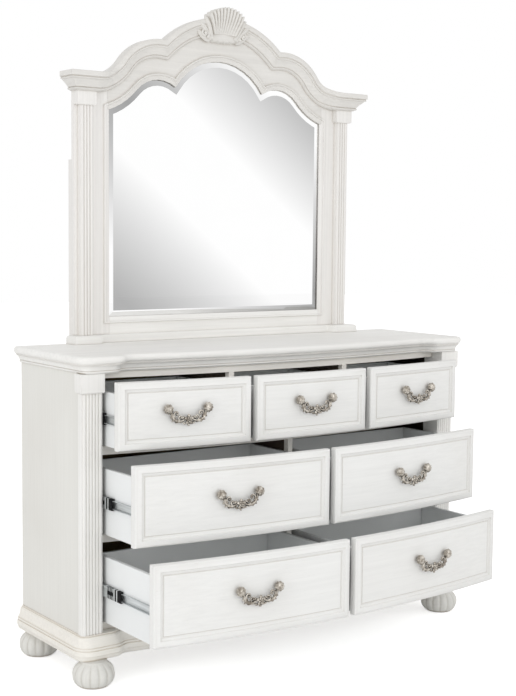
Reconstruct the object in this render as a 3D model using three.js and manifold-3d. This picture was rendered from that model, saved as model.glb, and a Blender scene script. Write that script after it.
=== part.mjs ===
// Bow-front dresser with seven drawers and a scalloped mirror that stands on its top.
// Millimetres, +X to the right, +Y to the back, +Z up. The drawers stand open by the amounts below.
import * as THREE from 'three';
import { mergeVertices } from 'three/addons/utils/BufferGeometryUtils.js';
import Module from 'manifold-3d';

const wasm = await Module();
wasm.setup();

// Gap between pieces that touch, gap round a drawer front, and extra reach of every cut
const fit = 0.3;
const reveal = 1.5;
const overrun = 4;

// Case: places are measured from the middle (X), the shaft of the pilasters (Y) and the floor (Z)
const caseHalf = 799.5;
const caseBack = 240;
const caseTop = 1008;
const baseTop = 165;
const pilasterWidth = 71.5;
const openHalf = caseHalf - pilasterWidth;
const panelThickness = 18;
const railFront = -159;
const railDepth = 22;
const bowRadius = 4000;
const bowStep = 90;
const friezeLap = 6;

// Rails and openings, counted up from the base board
const bottomRail = 25;
const bottomOpening = 262;
const middleRail = 26;
const middleOpening = 260;
const upperRail = 28;
const topRail = 22;
const partition = 20;

// Top board, cornice and base board
const topThickness = 27;
const topReach = 28;
const corniceHeight = 29;
const corniceReach = 19;
const corniceBed = 24;
const corniceInset = 60;
const capitalFront = -214;
const footHeight = 84;
const baseReach = 22;
const baseInset = 46;
const baseFloor = 18;
const cornerRound = 16;
const blockRun = 26;
const recessRun = 84;

// Pilasters of the case
const shaftFront = -200;
const shaftHalfGap = 2;
const reedCount = 6;
const reedRise = 4;
const reedMargin = 3;
const capitalHeight = 63;
const capitalLap = 12;
const capitalCove = 7;
const postDepth = 50;
const sideFront = -169;

// Feet
const footRadius = 70;
const footInset = 39.5;
const footSetBack = 47;
const footX = caseHalf - footInset;
const footY = caseBack - footSetBack;
const footLobes = 14;
const footGroove = 3.2;
const footNeck = 44;
const footSole = 52;

// Drawers
const frontThickness = 25;
const frontArris = 6;
const frontBand = 22;
const frontBorder = 36;
const frontField = 6;
const boxWall = 12;
const boxFloor = 6;
const boxFloorRise = 10;
const boxBelow = 6;
const boxAbove = 40;
const slideSpace = 12.7;
const slideDrop = 16;
const slideLength = 350;
const topOpen = 136;
const middleOpen = 239;
const bottomOpen = 350;

// Telescopic slides: steel gauge and heights of the three members
const slideSteel = 1.2;
const caseMember = 45.7;
const middleMember = 37;
const drawerMember = 27;
const memberLap = 1.9;
const bumperLength = 9;
const battenHeight = 64;

// Pulls
const pullHalf = 70;
const pullBall = 15.5;
const pullStand = 17;
const pullRod = 5.4;
const pullPost = 6;
const pullFoot = 8;
const pullDrop = 38;
const pullFlower = 18;
const pullFlowerDepth = 11;
const pullLeaf = 5.5;
const pullLeafReach = 14;
const pullLeafIn = 18;
const pullLeafDrop = 14;
const pullPetals = 5;

// Mirror frame: the glass opening, the board behind it and the mouldings on it
const topHeight = caseTop + corniceHeight + topThickness;
const frameHalf = 606;
const frameFace = 222;
const frameBack = 240;
const glassInset = 138;
const glassHalf = frameHalf - glassInset;
const glassBottom = 1154;
const glassCorner = 1877;
const glassArchRadius = 229;
const glassArchZ = 1849;
const glassHumpX = 262;
const glassHumpZ = 1869;
const glassHumpRadius = 125;
const glassHollowRadius = 260;
const sightWidth = 23;
const sightRise = 7;
const rebate = 7;
const glassThickness = 5;
const glassBevel = 27;
const bevelDepth = 2;
const backThickness = 5;
const jointAway = 6;
const crestJoint = glassHalf + jointAway;

// Crown moulding along the scalloped crest, and the blocks over the pilasters
const crownTop = 1997;
const crownDrop = 60;
const crownProjection = 30;
const crownFascia = 21;
const crownLid = 12;
const archRadius = 366;
const archZ = 1868;
const humpX = 275;
const humpZ = 1943;
const humpRadius = 190;
const hollowRadius = 130;
const endReach = 44;
const endHeight = 64;
const endSweep = 84;

// Pilasters, capitals and plinth of the mirror
const mirrorShaftInset = 14;
const mirrorShaftWidth = 52;
const mirrorShaftOut = frameHalf - mirrorShaftInset;
const mirrorShaftIn = mirrorShaftOut - mirrorShaftWidth;
const mirrorShaftFront = 200;
const mirrorReeds = 4;
const mirrorCapitalLap = 9;
const mirrorCapitalHeight = 48;
const mirrorCapitalCove = 5;
const plinthHeight = 28;
const plinthLap = 23;
const plinthHalf = frameHalf + plinthLap;
const plinthFront = 172;
const plinthRecess = 206;
const plinthBreakLap = 8;
const plinthBreak = 32;
const plinthRound = 7;
const supportWidth = 46;
const supportDepth = 22;
const supportTop = 1700;
const supportBottom = 700;

// Shell carving on the crest
const shellZ = 2142;
const shellRadius = 128;
const shellSpread = Math.PI * 0.46;
const shellRibs = 9;
const shellBase = 18;
const shellFlare = 26;
const shellRib = 7;
const shellNick = 6;
const neckHalf = 50;
const neckRise = 36;
const collarHalf = 68;
const collarDepth = 28;
const voluteHalf = 20;
const voluteTall = 29;
const voluteX = 80;
const voluteDepth = 26;
const voluteSides = 10;

// Colours of the finishes
const whitewash = { color: '#e4e0d8', roughness: 0.62, metalness: 0 };
const glaze = { color: '#dacfbd', roughness: 0.62, metalness: 0 };
const drawerWhite = { color: '#e9ecee', roughness: 0.5, metalness: 0 };
const zinc = { color: '#aeb1b2', roughness: 0.38, metalness: 0.9 };
const pewter = { color: '#4a4740', roughness: 0.42, metalness: 0.85 };
const silvered = { color: '#f2f4f6', roughness: 0.04, metalness: 1 };
const fibreboard = { color: '#8a7458', roughness: 0.85, metalness: 0 };

const assembly = new THREE.Group();

function place(name, geometry, finish) {
  const mesh = new THREE.Mesh(geometry, new THREE.MeshStandardMaterial(finish));
  mesh.name = name;
  assembly.add(mesh);
  return mesh;
}

// Solids for joining and cutting
function toSolid(geometry) {
  const bare = new THREE.BufferGeometry();
  bare.setAttribute('position', geometry.getAttribute('position'));
  bare.setIndex(geometry.getIndex());
  const merged = mergeVertices(bare);
  const vertProperties = new Float32Array(merged.getAttribute('position').array);
  const triVerts = new Uint32Array(merged.getIndex().array);
  return new wasm.Manifold(new wasm.Mesh({ numProp: 3, vertProperties, triVerts }));
}

function toGeometry(solid) {
  const mesh = solid.getMesh();
  const geometry = new THREE.BufferGeometry();
  geometry.setAttribute('position', new THREE.BufferAttribute(mesh.vertProperties, 3));
  geometry.setIndex(new THREE.BufferAttribute(mesh.triVerts, 1));
  return geometry;
}

function join(...geometries) {
  return toGeometry(geometries.map(toSolid).reduce((whole, piece) => whole.add(piece)));
}

function cut(geometry, ...tools) {
  return toGeometry(tools.map(toSolid).reduce((whole, tool) => whole.subtract(tool), toSolid(geometry)));
}

function keep(geometry, region) {
  return toGeometry(toSolid(geometry).intersect(toSolid(region)));
}

// Plain forms: a block between two corners, a plan outline raised in Z, a front outline run in Y
function block(x0, x1, y0, y1, z0, z1) {
  const box = new THREE.BoxGeometry(x1 - x0, y1 - y0, z1 - z0);
  return box.translate((x0 + x1) / 2, (y0 + y1) / 2, (z0 + z1) / 2);
}

function extrusion(outline, depth) {
  const shape = new THREE.Shape(outline.map(([u, v]) => new THREE.Vector2(u, v)));
  return new THREE.ExtrudeGeometry(shape, { depth, bevelEnabled: false });
}

function slab(outline, z0, z1) {
  return extrusion(outline, z1 - z0).translate(0, 0, z0);
}

function board(outline, y0, y1) {
  return extrusion(outline, y1 - y0).rotateX(Math.PI / 2).translate(0, y1, 0);
}

// Unit form turned about Y from radius and rise shares, its foot at the back
function turned(shares, sides) {
  const profile = shares.map(([radius, rise]) => new THREE.Vector2(radius, rise));
  return new THREE.LatheGeometry(profile, sides).rotateX(Math.PI);
}

// Points along an arc, both ends included
function arc(centre, radius, from, to, steps) {
  return Array.from({ length: steps + 1 }, (_, i) => {
    const angle = from + (to - from) * i / steps;
    return [centre[0] + radius * Math.cos(angle), centre[1] + radius * Math.sin(angle)];
  });
}

// Points from one end to the other along an S curve that leaves both ends level
function ogee(from, to, steps) {
  const run = (to[0] - from[0]) / 2;
  const curve = new THREE.CubicBezierCurve(
    new THREE.Vector2(from[0], from[1]),
    new THREE.Vector2(from[0] + run, from[1]),
    new THREE.Vector2(to[0] - run, to[1]),
    new THREE.Vector2(to[0], to[1]),
  );
  return curve.getPoints(steps).map((point) => [point.x, point.y]);
}

function between(from, to, steps) {
  return Array.from({ length: steps + 1 }, (_, i) => from + (to - from) * i / steps);
}

// Outline from its right half, which runs from one point of the middle or back to the other
function mirrored(half) {
  const left = half.filter(([x]) => x > fit).map(([x, y]) => [-x, y]).reverse();
  return [...half, ...left];
}

// Outline or path moved sideways by a distance, corners mitred
function offset(points, distance, closed = true) {
  const count = points.length;
  return points.map((point, i) => {
    const before = closed || i > 0 ? points[(i + count - 1) % count] : point;
    const after = closed || i < count - 1 ? points[(i + 1) % count] : point;
    const into = new THREE.Vector2(point[0] - before[0], point[1] - before[1]).normalize();
    const out = new THREE.Vector2(after[0] - point[0], after[1] - point[1]).normalize();
    if (into.length() === 0) into.copy(out);
    if (out.length() === 0) out.copy(into);
    const normal = new THREE.Vector2(into.y + out.y, -into.x - out.x).normalize();
    const stretch = distance / (normal.x * into.y - normal.y * into.x);
    return [point[0] + normal.x * stretch, point[1] + normal.y * stretch];
  });
}

// Closed skin over matching loops of points. Ladder caps join opposite points of a bowed end loop
function skin(loops, ladder = false) {
  const count = loops[0].length;
  const faces = [];
  for (let level = 0; level + 1 < loops.length; level += 1) {
    for (let i = 0; i < count; i += 1) {
      const a = level * count + i;
      const b = level * count + (i + 1) % count;
      faces.push([a, b, b + count], [a, b + count, a + count]);
    }
  }
  const last = (loops.length - 1) * count;
  const cap = ladder ? ladderCap(count) : flatCap(loops[0]);
  const endCap = ladder ? cap : flatCap(loops[loops.length - 1]);
  cap.forEach(([a, b, c]) => faces.push([a, c, b]));
  endCap.forEach(([a, b, c]) => faces.push([last + a, last + b, last + c]));
  const points = loops.flat();
  if (signedVolume(points, faces) < 0) faces.forEach((face) => face.reverse());
  const geometry = new THREE.BufferGeometry().setFromPoints(points);
  return geometry.setIndex(faces.flat());
}

function ladderCap(count) {
  return between(0, count / 2 - 2, count / 2 - 2).flatMap((i) => {
    const far = count - 1 - i;
    return [[i, i + 1, far - 1], [i, far - 1, far]];
  });
}

function flatCap(loop) {
  const normal = new THREE.Vector3();
  loop.forEach((point, i) => normal.add(point.clone().cross(loop[(i + 1) % loop.length])));
  const size = [Math.abs(normal.x), Math.abs(normal.y), Math.abs(normal.z)];
  const drop = size.indexOf(Math.max(...size));
  const [u, v] = [0, 1, 2].filter((axis) => axis !== drop);
  const flat = loop.map((point) => new THREE.Vector2(point.getComponent(u), point.getComponent(v)));
  const faces = THREE.ShapeUtils.triangulateShape(flat, []);
  const covered = faces.reduce((sum, face) => sum + THREE.ShapeUtils.area(face.map((i) => flat[i])), 0);
  const agrees = Math.sign(covered) === Math.sign(THREE.ShapeUtils.area(flat));
  return agrees ? faces : faces.map(([a, b, c]) => [a, c, b]);
}

function signedVolume(points, faces) {
  return faces.reduce((sum, [a, b, c]) => {
    return sum + points[a].dot(points[b].clone().cross(points[c]));
  }, 0);
}

const inPlan = (outline, z) => outline.map(([x, y]) => new THREE.Vector3(x, y, z));
const inFront = (outline, y) => outline.map(([x, z]) => new THREE.Vector3(x, y, z));

// Bow of the front: how far forward of its ends a point of the front lies
function bowRise(x) {
  return Math.sqrt(bowRadius ** 2 - x ** 2) - Math.sqrt(bowRadius ** 2 - openHalf ** 2);
}

const railFace = (x) => railFront - bowRise(x);

// Outline of the case from above, grown by reach: corner blocks, then the bow between them
function planOutline(blockFront, reach) {
  const side = caseHalf + reach;
  const front = blockFront - reach;
  const blockEnd = openHalf - blockRun - reach / 2;
  const recess = openHalf - recessRun - reach / 2;
  const bowLine = (x) => railFace(x) - friezeLap - reach;
  return mirrored([
    [side, caseBack],
    ...arc([side - cornerRound, front + cornerRound], cornerRound, 0, -Math.PI / 2, 3),
    ...ogee([blockEnd, front], [recess, bowLine(recess)], 6),
    ...between(recess, 0, 6).slice(1).map((x) => [x, bowLine(x)]),
  ]);
}

// Moulded board: its profile lists a height and a reach for each loop
function mouldedBoard(blockFront, profile) {
  return skin(profile.map(([z, reach]) => inPlan(planOutline(blockFront, reach), z)));
}

// Top board with a rounded nosing
const topBottom = caseTop + corniceHeight;
const nosing = topThickness / 2;
const noseShares = [[-1, 0.3], [-0.7, 0.75], [-0.1, 1], [0.6, 0.84], [1, 0.36]];
const topProfile = noseShares.map(([rise, share]) => {
  return [topBottom + nosing * (1 + rise) + (rise === -1 ? fit : 0), topReach - nosing * (1 - share)];
});
place('top_board', mouldedBoard(capitalFront, topProfile), whitewash);

// Cornice frame: a cove under a small fillet, open in the middle
const coveFootShare = 1 / 6;
const coveFoot = corniceReach * coveFootShare;
const coveShares = [[0, 0], [0.42, 0.16], [0.78, 0.56], [1, 1]];
const coveTop = corniceBed / corniceHeight;
const corniceProfile = [
  [caseTop + fit, coveFoot],
  ...coveShares.slice(1).map(([rise, share]) => {
    return [caseTop + corniceHeight * coveTop * rise, coveFoot + (corniceReach - coveFoot * 2) * share];
  }),
  [topBottom - (corniceHeight - corniceBed), corniceReach],
  [topBottom, corniceReach],
];
const corniceWell = block(
  corniceInset - caseHalf, caseHalf - corniceInset,
  shaftFront + corniceInset, caseBack - corniceInset,
  caseTop - overrun, topBottom + overrun,
);
place('cornice_moulding', cut(mouldedBoard(capitalFront, corniceProfile), corniceWell), whitewash);

// Base board: ogee, band and rounded foot, hollow from below under its floor
const baseHeight = baseTop - footHeight;
const baseShares = [
  [1, 0.1], [0.93, 0.3], [0.78, 0.4], [0.6, 0.88], [0.38, 0.92], [0.36, 1], [0.12, 1], [0, 0.6],
];
const baseProfile = baseShares.map(([rise, share]) => [footHeight + baseHeight * rise, baseReach * share]);
const baseWell = block(
  baseInset - caseHalf, caseHalf - baseInset,
  shaftFront + baseInset, caseBack - baseInset,
  footHeight - overrun, baseTop - baseFloor,
);
const footPlaces = [
  ['foot_front_left', -footX, -footY], ['foot_front_right', footX, -footY],
  ['foot_back_left', -footX, footY], ['foot_back_right', footX, footY],
];
const footPads = footPlaces.map(([, x, y]) => {
  const low = footHeight - overrun * 2;
  return block(x - footRadius, x + footRadius, y - footRadius, y + footRadius, low, baseTop);
});
place('base_board', cut(mouldedBoard(shaftFront, baseProfile), cut(baseWell, ...footPads)), glaze);

// Gadrooned feet: bun profile, from neck to sole, with a groove between the lobes
const footShares = [
  [1, 0, 0], [0.92, 0.08, 0.4], [0.8, 0.6, 1], [0.48, 1, 1], [0.14, 0.64, 1], [0, 0, 0.4],
];
function bunFoot() {
  const height = footHeight - fit;
  return skin(footShares.map(([rise, swell, depth]) => {
    const rest = rise > 1 / 2 ? footNeck : footSole;
    const radius = rest + (footRadius - rest) * swell;
    return Array.from({ length: footLobes * 2 }, (_, i) => {
      const reach = radius - (i % 2 === 0 ? footGroove * depth : 0);
      const angle = Math.PI * i / footLobes;
      return new THREE.Vector3(reach * Math.cos(angle), reach * Math.sin(angle), height * rise);
    });
  }));
}
footPlaces.forEach(([name, x, y]) => place(name, bunFoot(), whitewash).position.set(x, y, 0));

// Rows of drawers, from the base up
const bottomZ = baseTop + bottomRail;
const middleZ = bottomZ + bottomOpening + middleRail;
const topZ = middleZ + middleOpening + upperRail;
const bottomRow = { low: bottomZ, high: bottomZ + bottomOpening, open: bottomOpen };
const middleRow = { low: middleZ, high: middleZ + middleOpening, open: middleOpen };
const topRow = { low: topZ, high: caseTop - topRail, open: topOpen };
const bay = (openHalf * 2 - partition * 2) / 3;
const slideZ = (row) => (row.low + row.high) / 2 - slideDrop;
const drawers = [
  { name: 'top_left', row: topRow, from: -openHalf, to: -bay / 2 - partition },
  { name: 'top_middle', row: topRow, from: -bay / 2, to: bay / 2 },
  { name: 'top_right', row: topRow, from: bay / 2 + partition, to: openHalf },
  { name: 'middle_left', row: middleRow, from: -openHalf, to: -partition / 2 },
  { name: 'middle_right', row: middleRow, from: partition / 2, to: openHalf },
  { name: 'bottom_left', row: bottomRow, from: -openHalf, to: -partition / 2 },
  { name: 'bottom_right', row: bottomRow, from: partition / 2, to: openHalf },
];

// A member of a slide: a channel whose web lies at a distance from the case wall
const slideFrontY = railFront + frontThickness;
const slideBackY = slideFrontY + slideLength;
function channel(wallX, toward, web, reach, height, z, y1, flange) {
  const at = (u) => wallX + toward * u;
  const back = web + Math.sign(reach - web) * slideSteel;
  const half = height / 2;
  const outline = [
    [at(web), -half], [at(reach), -half], [at(reach), flange - half], [at(back), flange - half],
    [at(back), half - flange], [at(reach), half - flange], [at(reach), half], [at(web), half],
  ];
  return board(outline, slideFrontY, y1).translate(0, 0, z);
}

function caseChannel(wallX, toward, row) {
  const reach = slideSpace - memberLap;
  return channel(wallX, toward, -fit, reach, caseMember, slideZ(row), slideBackY, slideSteel);
}

// Side panels: outer board, battens between it and the opening, and the case members of the slides
const battenFront = sideFront + postDepth + fit;
function sidePanel(side) {
  const outer = Math.min(side * caseHalf, side * (caseHalf - panelThickness));
  const panel = block(outer, outer + panelThickness, sideFront, caseBack, baseTop + fit, caseTop);
  const root = side * (caseHalf - panelThickness / 2);
  const pieces = [topRow, middleRow, bottomRow].flatMap((row) => {
    const z = slideZ(row);
    const ends = [side * openHalf, root].sort((a, b) => a - b);
    const half = battenHeight / 2;
    return [
      block(ends[0], ends[1], battenFront, slideBackY, z - half, z + half),
      caseChannel(side * openHalf, -side, row),
    ];
  });
  return join(panel, ...pieces);
}
place('side_panel_left', sidePanel(-1), whitewash);
place('side_panel_right', sidePanel(1), whitewash);

// Pilasters: a reeded shaft with a post behind it, under a plain capital with a cove below
function reededFront(inner, outer, front, reeds, rise) {
  const width = (outer - inner - reedMargin * 2) / reeds;
  const radius = (rise ** 2 + (width / 2) ** 2) / (2 * rise);
  const spread = Math.asin(width / 2 / radius);
  const crests = Array.from({ length: reeds }, (_, i) => {
    const middle = [inner + reedMargin + width * (i + 0.5), front - rise + radius];
    return arc(middle, radius, -Math.PI / 2 - spread, -Math.PI / 2 + spread, 4).slice(i > 0 ? 1 : 0);
  });
  return [[inner, front], ...crests.flat(), [outer, front]];
}

const mirrorAcross = (outline, side) => (side > 0 ? outline : outline.map(([x, y]) => [-x, y]).reverse());

// Heights of a capital from its foot to its top, each with the share of its lap there
const capitalShares = [[0, 0], [0, 0.5], [0.5, 0.9], [1, 1]];
function capitalSteps(foot, top, cove) {
  return [...capitalShares.map(([rise, share]) => [foot + cove * rise, share]), [top, 1]];
}

function casePilaster(side) {
  const shaftTop = caseTop - fit;
  const postBack = sideFront + postDepth;
  const inner = openHalf + fit * 2;
  const outer = caseHalf + shaftHalfGap;
  const postOuter = caseHalf - panelThickness - fit;
  const outline = [
    ...reededFront(inner, outer, shaftFront + reedRise, reedCount, reedRise),
    [outer, sideFront - fit], [postOuter, sideFront - fit], [postOuter, postBack], [inner, postBack],
  ];
  const shaft = slab(mirrorAcross(outline, side), baseTop + fit, shaftTop - capitalHeight / 2);
  const capital = skin(capitalSteps(shaftTop - capitalHeight, shaftTop, capitalCove).map(([z, share]) => {
    const lap = capitalLap * share;
    const front = capitalFront + capitalLap - lap;
    return inPlan(mirrorAcross([
      [inner, front], [outer + lap, front], [outer + lap, sideFront - fit],
      [postOuter, sideFront - fit], [postOuter, postBack], [inner, postBack],
    ], side), z);
  }));
  return join(shaft, capital);
}
place('pilaster_left', casePilaster(-1), whitewash);
place('pilaster_right', casePilaster(1), whitewash);

// Plan of a piece whose front follows the bow, a depth behind the rail face, and whose back is flat
function bowPlan(x0, x1, near, back, steps) {
  return [...between(x0, x1, steps).map((x) => [x, railFace(x) + near]), [x1, back], [x0, back]];
}

// Face frame: one bowed sheet with an opening for each drawer
const faceHalf = openHalf + fit;
const faceXs = between(-faceHalf, faceHalf, 12);
const faceFront = faceXs.map((x) => [x, railFace(x)]);
const faceBehind = faceXs.map((x) => [x, railFace(x) + railDepth]).reverse();
const faceOpenings = drawers.map(({ row, from, to }) => {
  const ends = [from, to].map((x) => (Math.abs(x) === openHalf ? x + Math.sign(x) * overrun : x));
  return block(...ends, railFace(0) - overrun, railFront + railDepth + overrun, row.low, row.high);
});
const faceSheet = slab([...faceFront, ...faceBehind], baseTop + fit, caseTop - fit);
place('face_frame', cut(faceSheet, ...faceOpenings), glaze);

// Dust panel over the middle row, carrying the two partitions of the top row
const innerHalf = caseHalf - panelThickness - fit;
const backFace = caseBack - panelThickness / 3;
const backFront = backFace - panelThickness / 3;
const behindFrame = railDepth + fit * 4;
const postBackY = sideFront + postDepth + fit;
const dustLow = middleRow.high + (upperRail - panelThickness) / 2;
const dustOutline = [
  ...between(-faceHalf, faceHalf, 12).map((x) => [x, railFace(x) + behindFrame]),
  [faceHalf, postBackY], [innerHalf, postBackY], [innerHalf, backFront - fit],
  [-innerHalf, backFront - fit], [-innerHalf, postBackY], [-faceHalf, postBackY],
];
const dustPanel = slab(dustOutline, dustLow, dustLow + panelThickness);
const topPartition = (side) => {
  const ends = [side * bay / 2, side * (bay / 2 + partition)].sort((a, b) => a - b);
  const outline = bowPlan(ends[0], ends[1], behindFrame, backFront - fit, 2);
  const wall = slab(outline, dustLow + panelThickness / 2, caseTop);
  return [wall, caseChannel(ends[0], -1, topRow), caseChannel(ends[1], 1, topRow)];
};
place('upper_divider', join(dustPanel, ...topPartition(-1), ...topPartition(1)), drawerWhite);

// Centre partition between the wide drawers
const centreOutline = bowPlan(-partition / 2, partition / 2, behindFrame, backFront - fit, 2);
const centreChannels = [middleRow, bottomRow].flatMap((row) => {
  return [caseChannel(-partition / 2, -1, row), caseChannel(partition / 2, 1, row)];
});
place('centre_partition', join(
  slab(centreOutline, baseTop + fit, dustLow - fit), ...centreChannels,
), drawerWhite);

// Back panel between the side panels
place('back_panel', block(-innerHalf, innerHalf, backFront, backFace, baseTop + fit, caseTop), fibreboard);

// Drawer front: loops step inward from the edge and follow the bow
const borderShares = [[0.14, 0.5], [0.6, 0.8], [0.86, 1.3], [1, 1]];
const frontProfile = [
  [0, frontThickness],
  [0, frontArris],
  [frontArris / 3, frontArris / 3],
  [frontArris, 0],
  [frontBand, 0],
  ...borderShares.map(([run, depth]) => [frontBand + (frontBorder - frontBand) * run, frontField * depth]),
];
function drawerFront({ row, from, to }, shift) {
  const steps = Math.round((to - from) / bowStep);
  return skin(frontProfile.map(([inset, depth]) => {
    const xs = between(from + reveal + inset, to - reveal - inset, steps);
    const y = (x) => railFace(x) + depth - shift;
    const low = row.low + reveal + inset;
    const high = row.high - reveal - inset;
    return [
      ...xs.map((x) => new THREE.Vector3(x, y(x), low)),
      ...xs.reverse().map((x) => new THREE.Vector3(x, y(x), high)),
    ];
  }), true);
}

// Drawer box: two sides, back and bottom, with the drawer members of its slides
function drawerBox({ row, from, to }, shift) {
  const left = from + slideSpace;
  const right = to - slideSpace;
  const low = row.low + boxBelow;
  const high = row.high - boxAbove;
  const behind = frontThickness + fit;
  const strip = (x0, x1, steps) => bowPlan(x0, x1, behind, slideBackY, steps);
  const floorLow = low + boxFloorRise;
  const floorSteps = Math.round((to - from) / bowStep);
  const web = slideSpace + fit;
  const lip = slideSteel * 2 + fit * 2;
  const z = slideZ(row);
  const box = join(
    slab(strip(left, left + boxWall, 1), low, high),
    slab(strip(right - boxWall, right, 1), low, high),
    block(left, right, slideBackY - boxWall, slideBackY, low, high),
    slab(strip(left + boxWall / 2, right - boxWall / 2, floorSteps), floorLow, floorLow + boxFloor),
    channel(from, 1, web, lip, drawerMember, z, slideBackY, slideSteel),
    channel(to, -1, web, lip, drawerMember, z, slideBackY, slideSteel),
  );
  return box.translate(0, -shift, 0);
}

// Intermediate member of a slide, with the bumper on its front end
function middleChannel(wallX, toward, row, shift) {
  const web = slideSteel + fit;
  const reach = slideSpace - memberLap;
  const z = slideZ(row);
  const flange = (middleMember - drawerMember) / 2 - fit * 2;
  const steel = channel(wallX, toward, web, reach, middleMember, z, slideBackY, slideSteel);
  const bumper = channel(wallX, toward, web, reach, middleMember, z, slideFrontY + bumperLength, flange);
  return join(steel, bumper).translate(0, -shift / 2, 0);
}

// Pull: ball ends on turned posts, leaf curls, a bail and a flower in its middle
const bailShares = [
  [-1, 0], [-0.96, -0.34], [-0.82, -0.72], [-0.56, -0.96], [-0.25, -1.04],
  [0.25, -1.04], [0.56, -0.96], [0.82, -0.72], [0.96, -0.34], [1, 0],
];
const ballShares = [[0.94, -0.34], [0.94, 0.34], [0.57, 0.82], [0, 1]];
const leafLean = Math.PI / 5;
const flowerShares = [[0, 0.7], [0.6, 1], [1, 0.5]];
const petalNickShare = 0.8;
function rod(points, radius, sides, steps) {
  const path = new THREE.CatmullRomCurve3(points);
  const ring = arc([0, 0], radius, 0, Math.PI * 2, sides).slice(1);
  const section = new THREE.Shape(ring.map(([u, v]) => new THREE.Vector2(u, v)));
  return new THREE.ExtrudeGeometry(section, { extrudePath: path, steps, bevelEnabled: false });
}

function pull() {
  const knobShares = [
    [0, fit], [pullFoot, fit], [pullPost, pullStand / 3],
    ...ballShares.map(([radius, rise]) => [pullBall * radius, pullStand + pullBall * rise]),
  ];
  const ends = [-1, 1].flatMap((side) => {
    const leaf = new THREE.SphereGeometry(1, 4, 4).rotateX(Math.PI / 2)
      .scale(pullLeaf, pullLeaf, pullLeafReach).rotateY(-side * leafLean);
    return [
      turned(knobShares, 7).translate(side * pullHalf, 0, 0),
      leaf.translate(side * (pullHalf - pullLeafIn), -pullStand, -pullLeafDrop),
    ];
  });
  const bail = rod(
    bailShares.map(([x, z]) => new THREE.Vector3(x * pullHalf, -pullStand, z * pullDrop)),
    pullRod, 5, 9,
  );
  const petals = skin(flowerShares.map(([rise, share]) => {
    return Array.from({ length: pullPetals * 2 }, (_, i) => {
      const reach = pullFlower * share * (i % 2 === 0 ? 1 : petalNickShare);
      const angle = Math.PI * i / pullPetals;
      const y = pullFlowerDepth * (1 / 2 - rise) - pullStand;
      return new THREE.Vector3(reach * Math.cos(angle), y, reach * Math.sin(angle) - pullDrop);
    });
  }));
  return join(...ends, bail, petals);
}

drawers.forEach((drawer) => {
  const { name, row, from, to } = drawer;
  const shift = row.open;
  place(`${name}_front`, drawerFront(drawer, shift), whitewash);
  place(`${name}_box`, drawerBox(drawer, shift), drawerWhite);
  place(`${name}_slide_left`, middleChannel(from, 1, row, shift), zinc);
  place(`${name}_slide_right`, middleChannel(to, -1, row, shift), zinc);
  const middle = (from + to) / 2;
  const turn = Math.asin(middle / bowRadius);
  const sag = pullHalf ** 2 / (2 * bowRadius);
  const handle = place(`${name}_handle`, pull(), pewter);
  handle.rotation.z = turn;
  const handleFace = railFace(middle) + frontField + sag - shift;
  handle.position.set(middle, handleFace, (row.low + row.high + pullDrop) / 2);
});

// Where two circles meet, on the right or left of the line between their centres
function circlesMeet(first, firstRadius, second, secondRadius, turn) {
  const gap = Math.hypot(second[0] - first[0], second[1] - first[1]);
  const along = (firstRadius ** 2 - secondRadius ** 2 + gap ** 2) / (2 * gap);
  const away = turn * Math.sqrt(firstRadius ** 2 - along ** 2);
  const unit = [(second[0] - first[0]) / gap, (second[1] - first[1]) / gap];
  return [
    first[0] + unit[0] * along - unit[1] * away,
    first[1] + unit[1] * along + unit[0] * away,
  ];
}

const angleAt = (centre, point) => Math.atan2(point[1] - centre[1], point[0] - centre[0]);

function arcBetween(centre, from, to, steps) {
  const radius = Math.hypot(from[0] - centre[0], from[1] - centre[1]);
  return arc(centre, radius, angleAt(centre, from), angleAt(centre, to), steps);
}

// Scallop from the middle outward: an arch, a cusp, a hump and a hollow
function scallop(arch, archSize, hump, humpSize, hollow, hollowSize, end) {
  const cusp = circlesMeet(arch, archSize, hump, humpSize, 1);
  const share = humpSize / (humpSize + hollowSize);
  const turn = [hump[0] + (hollow[0] - hump[0]) * share, hump[1] + (hollow[1] - hump[1]) * share];
  return [
    ...arcBetween(arch, [0, arch[1] + archSize], cusp, 6),
    ...arcBetween(hump, cusp, turn, 7).slice(1),
    ...arcBetween(hollow, turn, end, 5).slice(1),
  ];
}

// Outline of the glass opening, clockwise from the bottom middle
const glassHollow = circlesMeet(
  [glassHumpX, glassHumpZ], glassHumpRadius + glassHollowRadius,
  [glassHalf, glassCorner], glassHollowRadius, 1,
);
const glassScallop = scallop(
  [0, glassArchZ], glassArchRadius, [glassHumpX, glassHumpZ], glassHumpRadius,
  glassHollow, glassHollowRadius, [glassHalf, glassCorner],
);
const sight = mirrored([...glassScallop, [glassHalf, glassBottom]]);
const sightLine = (away) => offset(sight, -away);

// Path of the outer edge of the crown moulding, over the scallops to the end blocks
const crestHollowX = humpX + Math.sqrt(
  (humpRadius + hollowRadius) ** 2 - (crownTop + hollowRadius - humpZ) ** 2,
);
const crestHalf = [
  ...scallop(
    [0, archZ], archRadius, [humpX, humpZ], humpRadius,
    [crestHollowX, crownTop + hollowRadius], hollowRadius, [crestHollowX, crownTop],
  ),
  [mirrorShaftIn + crownLid, crownTop],
];
const crestPath = [...crestHalf.slice(1).reverse().map(([x, z]) => [-x, z]), ...crestHalf];
const crestLine = (drop) => offset(crestPath, drop, false);

// Profile of the crown: drop from the edge, and Y
const crownFront = frameFace - crownProjection;
const crownCoveShares = [[0.1, 0.9], [0.3, 0.5], [0.7, 0.26], [1, 0.12]];
const crownProfile = [
  [0, frameBack], [0, crownFront], [crownFascia, crownFront],
  ...crownCoveShares.map(([drop, share]) => {
    return [crownFascia + (crownDrop - crownFascia) * drop, frameFace - fit - crownProjection * share];
  }),
  [crownDrop, frameFace - fit], [crownLid, frameFace - fit], [crownLid, frameBack],
];

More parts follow.
